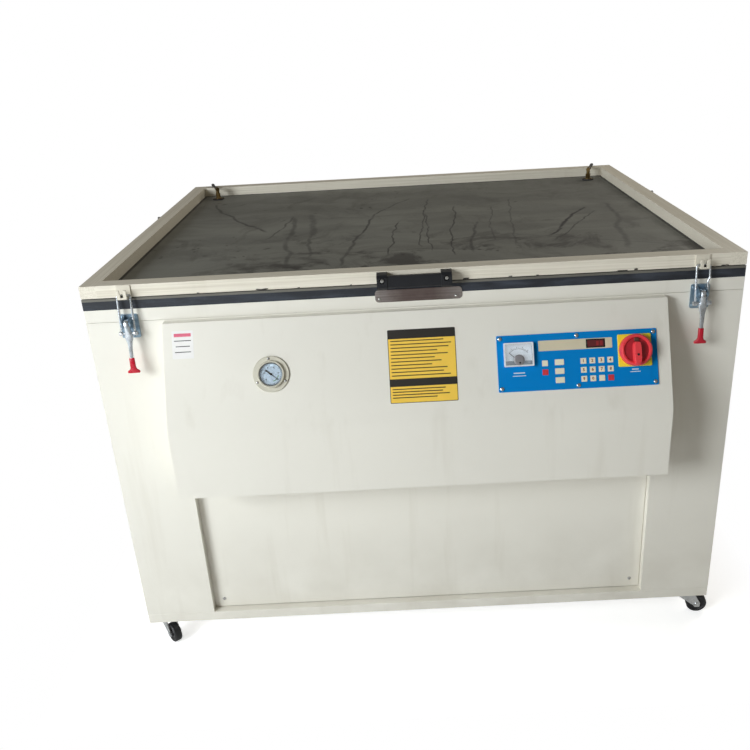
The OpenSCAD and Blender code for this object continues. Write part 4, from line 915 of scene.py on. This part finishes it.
class UNIT_OT_latches(bpy.types.Operator):
    """Model the draw latches: bars, levers with red grips, keepers and base plates"""

    bl_idname = "unit.latches"
    bl_label = "Draw latches"

    bar_half = 14 * MM
    # Shares of the right bar's outer leg, and how far it is bent there, in millimetres
    kink = ((0.28, 0.0), (0.33, 0.3), (0.37, -1.6), (0.41, -3.2), (0.46, -3.0), (1.0, -2.2))
    # Sections in millimetres: x, y from the cabinet's front, height, half width, half depth
    neck = ((0, -18.5, 878, 4.6, 4.5), (0, -19.5, 874, 5.9, 7.6), (0, -20, 864, 5.9, 7.8),
            (0, -19.5, 850, 5.9, 6.8), (0.4, -20.5, 844, 9.0, 4.6), (0.8, -22, 838, 8.2, 3.2),
            (1.2, -24, 827, 5.2, 2.4), (0.8, -26, 814, 4.2, 2.2), (0, -28, 790, 4.0, 2.2))
    sleeve = ((0, -28.2, 796.5, 4.6, 3.4), (0, -28.4, 795, 5.4, 4.1), (0, -29, 776, 5.6, 4.2),
              (0, -29, 771, 7.0, 4.0), (0, -29, 767.5, 12.6, 3.6), (0, -29, 764.5, 13.5, 3.4),
              (0, -29, 762.6, 12.6, 2.6))

    def bar_points(self, side):
        _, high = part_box(f"latch_bar_{side}")
        radius, bend = 2.5 * MM, 4.5 * MM
        across = Vector((self.bar_half, 0, 0))
        top = Vector((0, high.y - radius, high.z - radius))
        foot = Vector((0, LATCH_TRUNNION.y, LATCH_TRUNNION.z))
        corners = [foot - across, top - across, top + across, foot + across]
        points = [corners[0]] + round_corner(*corners[:3], bend) + round_corner(*corners[1:], bend)
        for share, shift in self.kink if side == "right" else ((1.0, 0),):
            points.append(corners[2].lerp(corners[3], share) + Vector((shift * MM, 0, 0)))
        return points

    def draw_latch(self, side, centre, wire_radius, zinc, grip):
        lever, bar = f"latch_lever_{side}", f"latch_bar_{side}"
        leg = settle(wire(self.bar_points(side), wire_radius), centre)
        eye = lathe([(3.1, -3), (4.8, -3), (5, -2.6), (5, 2.6), (4.8, 3), (3.1, 3), (3.1, -3)], 32)
        across = Matrix.Rotation(math.pi / 2, 4, "Y")
        eyes = copies(eye, [centre @ Matrix.Translation((x, LATCH_TRUNNION.y, LATCH_TRUNNION.z)) @ across
                            for x in (-self.bar_half, self.bar_half)])
        attach(joined([leg, eyes]), f"{bar}_wire", zinc, bar, bar, slot="bright_zinc")
        neck = settle(lofted(self.neck, front=FRONT), centre)
        attach(neck, f"{lever}_neck", zinc, lever, lever, slot="bright_zinc")
        sleeve = settle(lofted(self.sleeve, 24, FRONT), centre)
        attach(sleeve, f"latch_grip_{side}", grip, lever, slot="red_plastic")
        dress(zinc, f"latch_trunnion_{side}")

    def execute(self, context):
        settings = context.scene.unit_latches
        zinc = plated("bright latch zinc", rgb(222, 228, 234), 0.26, rgb(140, 150, 160), (1.0, 1.0, 0.1), 0.9)
        blue = plated("blue latch zinc", rgb(158, 182, 200), 0.32, rgb(84, 102, 120), metallic=0.85)
        ivory = powder_coat("ivory keeper coat", rgb(228, 222, 206))
        grip = moulded("dipped red grip", (*settings.grip, 1.0), 0.3, 500.0)
        for side, sign in (("left", -1), ("right", 1)):
            self.draw_latch(side, Matrix.Translation((sign * LATCH_X, 0, 0)), settings.wire, zinc, grip)
        eased("latch_bases", 0.5 * MM, 2, blue)
        low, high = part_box("latch_bases")
        middle = (low.z + high.z) / 2
        rivet = lathe([(0, 1.5), (2.2, 1.2), (3.6, 0.2), (3.6, 0)], 24)
        places = [facing_front(sign * LATCH_X + x, FRONT - 2.5 * MM, middle + z)
                  for sign in (-1, 1) for x in (-14 * MM, 14 * MM) for z in (-19 * MM, 19 * MM)]
        attach(copies(rivet, places), "latch_rivets", blue, "cabinet", slot="blue_zinc")
        eased("latch_keepers", 0.7 * MM, 2, ivory)
        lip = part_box("latch_keepers")[0].y + 1.3 * MM
        places = [Matrix.Translation((sign * LATCH_X + x, lip, LID_HIGH.z - 11.5 * MM))
                  for sign in (-1, 1) for x in (-7.2 * MM, 7.2 * MM)]
        lug = slab(7.6, 3.4, 9, edge=1.6, segments=3)
        attach(copies(lug, places), "latch_keeper_lugs", ivory, "lid", slot="ivory_zinc")
        return {"FINISHED"}


class UNIT_OT_gauge(bpy.types.Operator):
    """Finish the vacuum gauge: steel case, printed dial, numbers and needle"""

    bl_idname = "unit.gauge"
    bl_label = "Vacuum gauge"

    def execute(self, context):
        dress(plated("satin gauge steel", rgb(222, 219, 204), 0.36, rgb(170, 166, 150)), "gauge_case")
        place = on_slope(*GAUGE, 1.1)
        dial = dial_card("gauge dial with painted shade ring", place, 24.3 * MM)
        fix(disc(24.3, 0.4, sides=96), "gauge_dial", dial, "white_plastic", *GAUGE, 1.1)
        ink = moulded("dial ink", rgb(46, 58, 66), 0.5)
        numbers = []
        for index in range(6):
            angle = math.radians(225 - index * 54)
            spot = Matrix.Translation((15.2 * MM * math.cos(angle), 15.2 * MM * math.sin(angle), 0.5 * MM))
            numbers.append(lettering(str(index * 2), 4.6 * MM, 0.12 * MM, place @ spot))
        attach(joined(numbers), "gauge_numbers", ink, "cabinet", slot="black_plastic")
        needle = moulded("black needle", rgb(22, 22, 24), 0.4)
        hub = lathe([(0, 1.5), (1.9, 1.4), (2.6, 0.8), (2.6, 0)], 32)
        fix(hub, "gauge_needle_hub", needle, "needle_black", *GAUGE, 3.4, "gauge_needle")
        dress(needle, "gauge_needle", "meter_needle")
        return {"FINISHED"}


class UNIT_OT_meter(bpy.types.Operator):
    """Finish the panel meter: white frame, arc scale and dark hub cover"""

    bl_idname = "unit.meter"
    bl_label = "Panel meter"

    def execute(self, context):
        x, down = METER
        eased("meter_case", 0.8 * MM, 2, moulded("white meter frame", rgb(240, 243, 248), 0.25))
        card = meter_card("meter card", on_slope(x, down + 14, METER_CARD))
        fix(plate(55.6, 43.6, 0.3, 0.8), "meter_card", card, "white_plastic", x, down, METER_CARD)
        grey = moulded("grey meter band", rgb(150, 158, 166), 0.4)
        fix(plate(55.4, 8.5, 0.6, 0.6), "meter_band", grey, "white_plastic", x, down + 17.6, PLATE_FACE + 1.3)
        cover = lathe([(0, 1.5), (7, 1.3), (10.4, 0.8), (11.4, 0)], 48)
        cover_grey = moulded("grey meter cover", rgb(142, 140, 144), 0.3)
        fix(cover, "meter_cover", cover_grey, "white_plastic", x, down + 11.6, METER_WINDOW)
        screw = lathe([(0, 0.8), (1.8, 0.7), (2.3, 0)], 24)
        dark = moulded("dark zero screw", rgb(24, 24, 26), 0.3)
        fix(screw, "meter_zero_screw", dark, "black_plastic", x + 1.4, down + 17.4, METER_WINDOW + 0.9)
        return {"FINISHED"}


class UNIT_OT_controls(bpy.types.Operator):
    """Lay out the control plate: film, keys with plain numbers, title strip, display and main switch"""

    bl_idname = "unit.controls"
    bl_label = "Control plate"

    # Keys in millimetres: pitch, first key's place, side columns, and size of a key
    pitch = 18.8
    first_x, first_down = 348.9, 124.3
    square_x, square_down, wide_x = 268.3, 125.2, 298.5
    side, thickness, corner = 12.1, 0.25, 1.0
    # Pale rules in millimetres: place, width and height
    rules = ((213.7, 143, 24, 2.6), (213.7, 149, 28, 1.8), (457, 147, 14, 2.6), (457, 152, 22, 1.8))

    def key_place(self, column, row, out=FILM_FACE):
        return on_slope(self.first_x + column * self.pitch, self.first_down + row * self.pitch, out)

    def key_caps(self, name, material, slot, width, places):
        cap = plate(width, self.side, self.thickness, self.corner)
        attach(copies(cap, places), name, material, "cabinet", slot=slot)

    def execute(self, context):
        settings = context.scene.unit_controls
        blue = printed_film("blue printed panel", (*settings.panel, 1.0))
        dress(blue, "keypad_film")
        eased("control_plate", 0.5 * MM, 2, blue)
        cream = moulded("cream key print", (*settings.key, 1.0), 0.32)
        red = moulded("red key print", (*settings.red, 1.0), 0.32)
        digits = moulded("key digits", rgb(146, 66, 34), 0.4)
        places = [self.key_place(i, j) for j in range(3) for i in range(4) if (i, j) != (3, 2)]
        places.append(on_slope(self.square_x, self.square_down, FILM_FACE))
        self.key_caps("key_faces_cream", cream, "white_plastic", self.side, places)
        places = [self.key_place(3, 2), on_slope(self.square_x, self.square_down + self.pitch, FILM_FACE)]
        self.key_caps("key_faces_red", red, "red_plastic", self.side, places)
        places = [on_slope(self.wide_x, self.first_down + j * self.pitch, FILM_FACE) for j in range(3)]
        self.key_caps("key_faces_wide", cream, "white_plastic", 19.1, places)
        figures = []
        for index, text in enumerate("1234567890"):
            spot = self.key_place(index % 4, index // 4, FILM_FACE + 0.3)
            figures.append(lettering(text, settings.digit, 0.1 * MM, spot))
        attach(joined(figures), "key_digits", digits, "cabinet", slot="black_plastic")
        self.strips()
        self.switch()
        return {"FINISHED"}

    def strips(self):
        gold = moulded("pale title strip", rgb(222, 212, 184), 0.4)
        fix(plate(155, 22, 0.3, 1.5), "title_strip", gold, "white_plastic", 333.5, 88.5, PLATE_FACE)
        black = moulded("display surround", rgb(26, 18, 20), 0.25)
        surround = plate(40, 18.5, 0.35, 1.0)
        fix(surround, "display_surround", black, "black_plastic", *DISPLAY, PLATE_FACE + 0.2)
        glow = Finish("dark red display", rgb(120, 12, 22), 0.15, Coat_Weight=0.5)
        x, y, _ = glow.axes(glow.turned(on_slope(*DISPLAY)))
        segment = (abs((x % (8 * MM)) - 4 * MM) < 2.6 * MM) * (abs(y) < 4.4 * MM)
        glow.made(glow.blend(segment * 0.6, rgb(96, 8, 18), rgb(170, 26, 34)))
        window = plate(34, 13.5, 0.3, 0.8)
        fix(window, "display_window", glow.material, "red_plastic", *DISPLAY, FILM_FACE)
        pale = moulded("pale panel print", rgb(205, 222, 236), 0.4)
        printed_bars("panel_rules", pale, "white_plastic", 0.12, 0.5, PLATE_FACE, self.rules)

    def switch(self):
        eased("switch_plate", 0.8 * MM, 2, moulded("yellow switch plate", rgb(252, 232, 60), 0.3))
        red = moulded("red switch knob", rgb(244, 70, 78), 0.3, 600.0)
        ring = lathe([(25.2, 13.6), (25.6, 15.4), (27.4, 17.6), (30.4, 17.8), (32.6, 16), (33.5, 13),
                      (33.5, 0.6), (32.9, 0), (5, 0), (5, -18), (0, -18)], 96)
        settle(ring, on_slope(*SWITCH, SWITCH_BASE))
        attach(ring, "switch_ring", red, "switch_knob", "switch_knob", slot="red_plastic")
        face = lathe([(0, 14), (24.6, 14), (25.3, 13.4), (25.3, 12)], 96)
        grip = lofted([(0, -6.5, 13.6, 8.8, 23.6), (0, -6.5, 20, 8.2, 23.2), (0, -6.5, 25.6, 7.6, 22.8),
                       (0, -6.5, 27, 6.6, 21.8)], 40)
        dot, tab = disc(2.6, 0.4, 0.1, 32), slab(9, 8, 5, (0, 21.5, 16), 1.0)
        dark = moulded("dark switch disc", rgb(176, 34, 48), 0.35)
        black = moulded("black switch mark", rgb(20, 18, 20), 0.3)
        brown = moulded("brown lock tab", rgb(104, 62, 50), 0.4)
        x, down = SWITCH
        for piece, name, material, slot, *spot in (
                (face, "switch_face", dark, "red_plastic", x, down, SWITCH_BASE),
                (grip, "switch_grip", red, "red_plastic", x, down, SWITCH_BASE),
                (dot, "switch_dot", black, "black_plastic", x, down + 10, SWITCH_BASE + 26.7),
                (tab, "switch_lock_tab", brown, "white_plastic", x, down, SWITCH_BASE)):
            fix(piece, name, material, slot, *spot, "switch_knob")


class UNIT_OT_labels(bpy.types.Operator):
    """Fix the blank label plates on the console"""

    bl_idname = "unit.labels"
    bl_label = "Blank labels"

    # Bands and rules of the labels in millimetres: width or height, and how far down
    bands = ((18.5, 48.6), (16, 150.5))
    rules = [(width, 62.5 + 7.3 * row) for row, width in
             enumerate((112, 128, 122, 98, 120, 92, 106, 86, 118, 110, 124))]
    rules += [(width, 164 + 6 * row) for row, width in enumerate((112, 106, 120, 94))]

    def execute(self, context):
        amber = moulded("amber label film", rgb(255, 212, 84), 0.45)
        ink = moulded("label ink", rgb(36, 32, 26), 0.5)
        white = moulded("white sticker", rgb(246, 244, 242), 0.5)
        red = moulded("red sticker print", rgb(228, 104, 132), 0.5)
        x, down = LABEL
        fix(plate(143, 155, 0.2, 2.5), "amber_label_border", ink, "black_plastic", x, down)
        fix(plate(140.6, 152.6, 0.15, 2.0), "amber_label", amber, "yellow_plastic", x, down, 0.18)
        bars = [settle(plate(141, height, 0.1, 0.5), on_slope(x, down, 0.3)) for height, down in self.bands]
        bars += [settle(plate(width, 2.0, 0.1, 0.4), on_slope(x - (132 - width) / 2, down, 0.3))
                 for width, down in self.rules]
        attach(joined(bars), "amber_label_rules", ink, "cabinet", slot="black_plastic")
        fix(plate(45, 59, 0.2, 1.0), "white_sticker", white, "white_plastic", STICKER_X, 46.5)
        fix(plate(36, 7, 0.08, 0.4), "sticker_head", red, "red_plastic", STICKER_X, 26, 0.2)
        bars = [(STICKER_X, 38 + row * 12, width, 1.7) for row, width in enumerate((36, 30, 34))]
        printed_bars("sticker_rules", ink, "black_plastic", 0.08, 0.3, 0.2, bars)
        return {"FINISHED"}


class UNIT_OT_screws(bpy.types.Operator):
    """Model the cross-head screws of the panels and instruments"""

    bl_idname = "unit.screws"
    bl_label = "Panel screws"

    def pan_head(self, radius, height):
        head = lathe([(0, height), (radius * 0.5, height * 0.96), (radius * 0.86, height * 0.62),
                      (radius, height * 0.12), (radius, 0)], 28)
        arms = [slab(radius * long, radius * short, height, (0, 0, height))
                for long, short in ((1.1, 0.2), (0.2, 1.1))]
        for arm in arms:
            modified(head, "BOOLEAN", operation="DIFFERENCE", solver="EXACT", object=arm)
            bpy.data.objects.remove(arm)
        return head

    def execute(self, context):
        low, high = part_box("access_panel")
        inset = 23 * MM
        access = [facing_front(x, low.y, z) for x in (low.x + inset, high.x - inset)
                  for z in (low.z + inset, high.z - inset)]
        control = [on_slope(PLATE[0] + x * 161, PLATE[1] + v * 52.5, 2) for x in (-1, 0, 1) for v in (-1, 1)]
        gauge = [on_slope(*GAUGE) @ Matrix.Rotation(math.radians(turn), 4, "Z")
                 @ Matrix.Translation((33.5 * MM, 0, 3 * MM)) for turn in (97, 333, 209)]
        big = copies(self.pan_head(4.5, 2.5), access + control)
        small = copies(self.pan_head(3, 2), gauge)
        bright = plated("bright screw head", rgb(205, 205, 205), 0.25)
        heads = joined([big, small])
        attach(heads, "panel_screw_heads", bright, "cabinet", "panel_screws", slot="bright_zinc")
        return {"FINISHED"}


class UNIT_OT_vacuum(bpy.types.Operator):
    """Run the two vacuum hoses from their nipples over the rear rail to the cabinet"""

    bl_idname = "unit.vacuum"
    bl_label = "Vacuum hoses"

    def route(self, sign):
        """The hose's centre line, as part.scad lays it."""
        nipple = Vector((sign * 607 * MM, FRONT + 1053 * MM, LID_HIGH.z + 5.3 * MM))
        across = Vector((sign * 33 * MM, 89 * MM, 0)).normalized()
        start = nipple + across * 16 * MM
        edge = Vector((sign * 640 * MM, FRONT + 1142 * MM, nipple.z))
        bend, steps = 34 * MM, 10
        down = [edge + Vector((0, bend * math.sin(a), -bend * (1 - math.cos(a))))
                for a in [math.pi / 2 * (i + 1) / steps for i in range(steps)]]
        end = Vector((down[-1].x, down[-1].y, RAIL_TOP - 85 * MM))
        lead = [start.lerp(edge, t) for t in (0, 0.25, 0.5, 0.75, 1.0)]
        return lead + down + [down[-1].lerp(end, t) for t in (0.2, 0.4, 0.6, 0.8, 1.0)]

    def execute(self, context):
        black = moulded("black vacuum hose", rgb(30, 30, 33), 0.4, 300.0)
        for side, sign in (("left", -1), ("right", 1)):
            points = self.route(sign)
            hose = wire(points, 4 * MM)
            hose.name = f"vacuum_hose_{side}"
            finish_with(hose, black)
            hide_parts("vacuum_hoses")
            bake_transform(hose)
        dress(brass_in_rubber("nipple brass", LID_LOW.z + 3.05 * MM), "hose_nipples")
        dress(cast_paint("grey vacuum pipe", rgb(92, 98, 104)), "vacuum_manifold")
        return {"FINISHED"}


class UNIT_OT_running_gear(bpy.types.Operator):
    """Finish the casters, hinges, gas struts and the pieces inside"""

    bl_idname = "unit.running_gear"
    bl_label = "Casters, hinges, struts, inside"

    def execute(self, context):
        dark = cast_paint("dark painted steel", rgb(58, 60, 62))
        for material, *starts in (
                (plated("caster zinc", rgb(206, 208, 210), 0.3), "caster_fork", "caster_plates", "hinge_"),
                (moulded("black caster rubber", rgb(34, 34, 36), 0.55, 250.0, 0.0004), "caster_wheel"),
                (cast_paint("strut tube black", rgb(36, 38, 42)), "strut_cylinder"),
                (plated("strut rod", rgb(210, 212, 214), 0.12), "strut_rod"),
                (plated("polished reflector", rgb(222, 224, 228), 0.12), "reflector"),
                (clear("lamp glass", rgb(225, 225, 240)), "uv_lamp"),
                (moulded("glazed ceramic", rgb(230, 226, 212), 0.25), "lamp_holders"),
                (dark, "fan_housing", "ballast"),
                (moulded("fan plastic", rgb(34, 34, 36), 0.45), "fan_rotor"),
                (cast_paint("pump grey", rgb(96, 104, 112)), "vacuum_pump"),
                (moulded("board lacquer", rgb(24, 96, 56), 0.3), "control_board"),
                (moulded("gland nylon", rgb(30, 30, 32), 0.4), "mains_gland")):
            dress(material, *(node for node in NODES if node.startswith(tuple(starts))))
        return {"FINISHED"}


class UNIT_OT_stage(bpy.types.Operator):
    """Set up the pale floor, the soft lamps and the photograph's camera"""

    bl_idname = "unit.stage"
    bl_label = "Floor, lamps and camera"

    # Place, target, size, share of the main lamp's power, colour
    lamps = {
        "window_lamp": ((-2.65, -2.9, 1.85), (0, -0.5, 0.55), 1.6, 1.0, (0.93, 0.975, 1.0)),
        "front_lamp": ((0.4, -4.2, 1.6), (0, 0, 0.5), 2.2, 0.024, (1, 1, 1)),
        "rear_lamp": ((2.3, 1.5, 2.6), (0.5, 0.1, 0.9), 1.4, 0.24, (1.0, 0.96, 0.86)),
        "side_lamp": ((-3.4, 0.5, 1.4), (0.6, 0.1, 0.94), 0.8, 0.1, (1.0, 0.99, 0.95)),
    }
    white = (1, 1, 1, 1)
    warm_fill = (1.0, 0.86, 0.63, 1)

    def linked(self, name, data):
        piece = bpy.data.objects.new(name, data)
        bpy.context.scene.collection.objects.link(piece)
        return piece

    def camera(self):
        data = bpy.data.cameras.new("photo_camera")
        data.sensor_fit = "HORIZONTAL"
        data.lens = 39.23
        data.shift_x = -0.0308
        data.clip_end = 200
        camera = self.linked("photo_camera", data)
        turn, tilt, roll = (Matrix.Rotation(math.radians(angle), 4, axis)
                            for angle, axis in ((0.437, "Z"), (90 - 23.204, "X"), (-3.158, "Z")))
        camera.matrix_world = Matrix.Translation((-0.02885, -2.1891, 1.4216)) @ turn @ tilt @ roll
        bpy.context.scene.camera = camera

    def lamp(self, name, power, place, target, size, share, colour):
        data = bpy.data.lights.new(name, "AREA")
        data.shape = "SQUARE"
        data.size = size
        data.energy = power * share
        data.color = colour
        lamp = self.linked(name, data)
        lamp.location = place
        lamp.rotation_euler = (Vector(target) - Vector(place)).to_track_quat("-Z", "Y").to_euler()

    def surroundings(self, scene, fill):
        """Warm, weak light all around. The camera and glass see white, and metal sees a share of it."""
        world = bpy.data.worlds.new("studio")
        scene.world = world
        world.use_nodes = True
        sky = Nodes(world.node_tree)
        back = sky.tree.nodes["Background"]
        back.inputs["Color"].default_value = self.warm_fill
        back.inputs["Strength"].default_value = fill
        seen = sky.add("ShaderNodeBackground", Strength=1.0, Color=self.white)
        rays = sky.add("ShaderNodeLightPath").outputs
        camera_ray, through, mirrored = [sky.level(rays[f"Is {kind} Ray"])
                                         for kind in ("Camera", "Transmission", "Glossy")]
        shown = camera_ray.combine("MAXIMUM", through).combine("MAXIMUM", mirrored * 0.12)
        sky.surface("World Output", shown, back.outputs[0], seen.outputs[0])

    def floor(self):
        """Pale floor that holds the shadow and fades to white round the cabinet."""
        alone()
        bpy.ops.mesh.primitive_plane_add(size=60.0, location=(0, 0, 0))
        floor = settle(bpy.context.object)
        floor.name = "studio_floor"
        pale = Finish("pale floor", (0.9, 0.9, 0.9, 1), 0.8)
        camera_ray = pale.level(pale.add("ShaderNodeLightPath").outputs["Is Camera Ray"])
        x, y, _ = pale.axes()
        past_side = (abs(x) - 0.7).combine("MAXIMUM", abs(y) - 0.62)
        glow = pale.add("ShaderNodeEmission", Color=self.white, Strength=camera_ray * 0.62)
        lit = pale.add("ShaderNodeAddShader")
        pale.feed(lit.inputs[0], pale.shader.outputs[0])
        pale.feed(lit.inputs[1], glow.outputs[0])
        far = pale.add("ShaderNodeEmission", Color=self.white, Strength=1.0)
        away = past_side.ramp(0.02, 0.2) * camera_ray
        pale.surface("Material Output", away, lit.outputs[0], far.outputs[0])
        finish_with(floor, pale.material)

    def execute(self, context):
        settings = context.scene.unit_stage
        self.camera()
        for name, lamp in self.lamps.items():
            self.lamp(name, settings.key_light, *lamp)
        self.surroundings(context.scene, settings.fill)
        self.floor()
        context.scene.view_settings.view_transform = "Standard"
        return {"FINISHED"}


OPERATORS = (UNIT_OT_stage, UNIT_OT_vacuum, UNIT_OT_shell, UNIT_OT_blanket, UNIT_OT_trimmings, UNIT_OT_glass,
             UNIT_OT_handle, UNIT_OT_latches, UNIT_OT_gauge, UNIT_OT_meter, UNIT_OT_controls, UNIT_OT_labels,
             UNIT_OT_screws, UNIT_OT_running_gear)


class UNIT_PT_panel(bpy.types.Panel):
    """Lists the pieces of the exposure unit"""

    bl_label = "Exposure unit"
    bl_idname = "UNIT_PT_panel"
    bl_space_type = "VIEW_3D"
    bl_region_type = "UI"
    bl_category = "Exposure unit"

    def draw(self, context):
        for operator in OPERATORS:
            self.layout.operator(operator.bl_idname)
        for name in SETTINGS:
            group = getattr(context.scene, name)
            for key in group.bl_rna.properties.keys():
                if key not in ("rna_type", "name"):
                    self.layout.prop(group, key)


SETTINGS = {
    "unit_paint": PaintSettings,
    "unit_blanket": BlanketSettings,
    "unit_controls": ControlSettings,
    "unit_latches": LatchSettings,
    "unit_stage": StageSettings,
}


def register():
    for name, group in SETTINGS.items():
        bpy.utils.register_class(group)
        setattr(bpy.types.Scene, name, PointerProperty(type=group))
    for operator in OPERATORS:
        bpy.utils.register_class(operator)
    bpy.utils.register_class(UNIT_PT_panel)


def unregister():
    bpy.utils.unregister_class(UNIT_PT_panel)
    for operator in reversed(OPERATORS):
        bpy.utils.unregister_class(operator)
    for name, group in SETTINGS.items():
        delattr(bpy.types.Scene, name)
        bpy.utils.unregister_class(group)


def main():
    register()
    for operator in OPERATORS:
        family, name = operator.bl_idname.split(".")
        getattr(getattr(bpy.ops, family), name)()


if __name__ == "__main__":
    main()
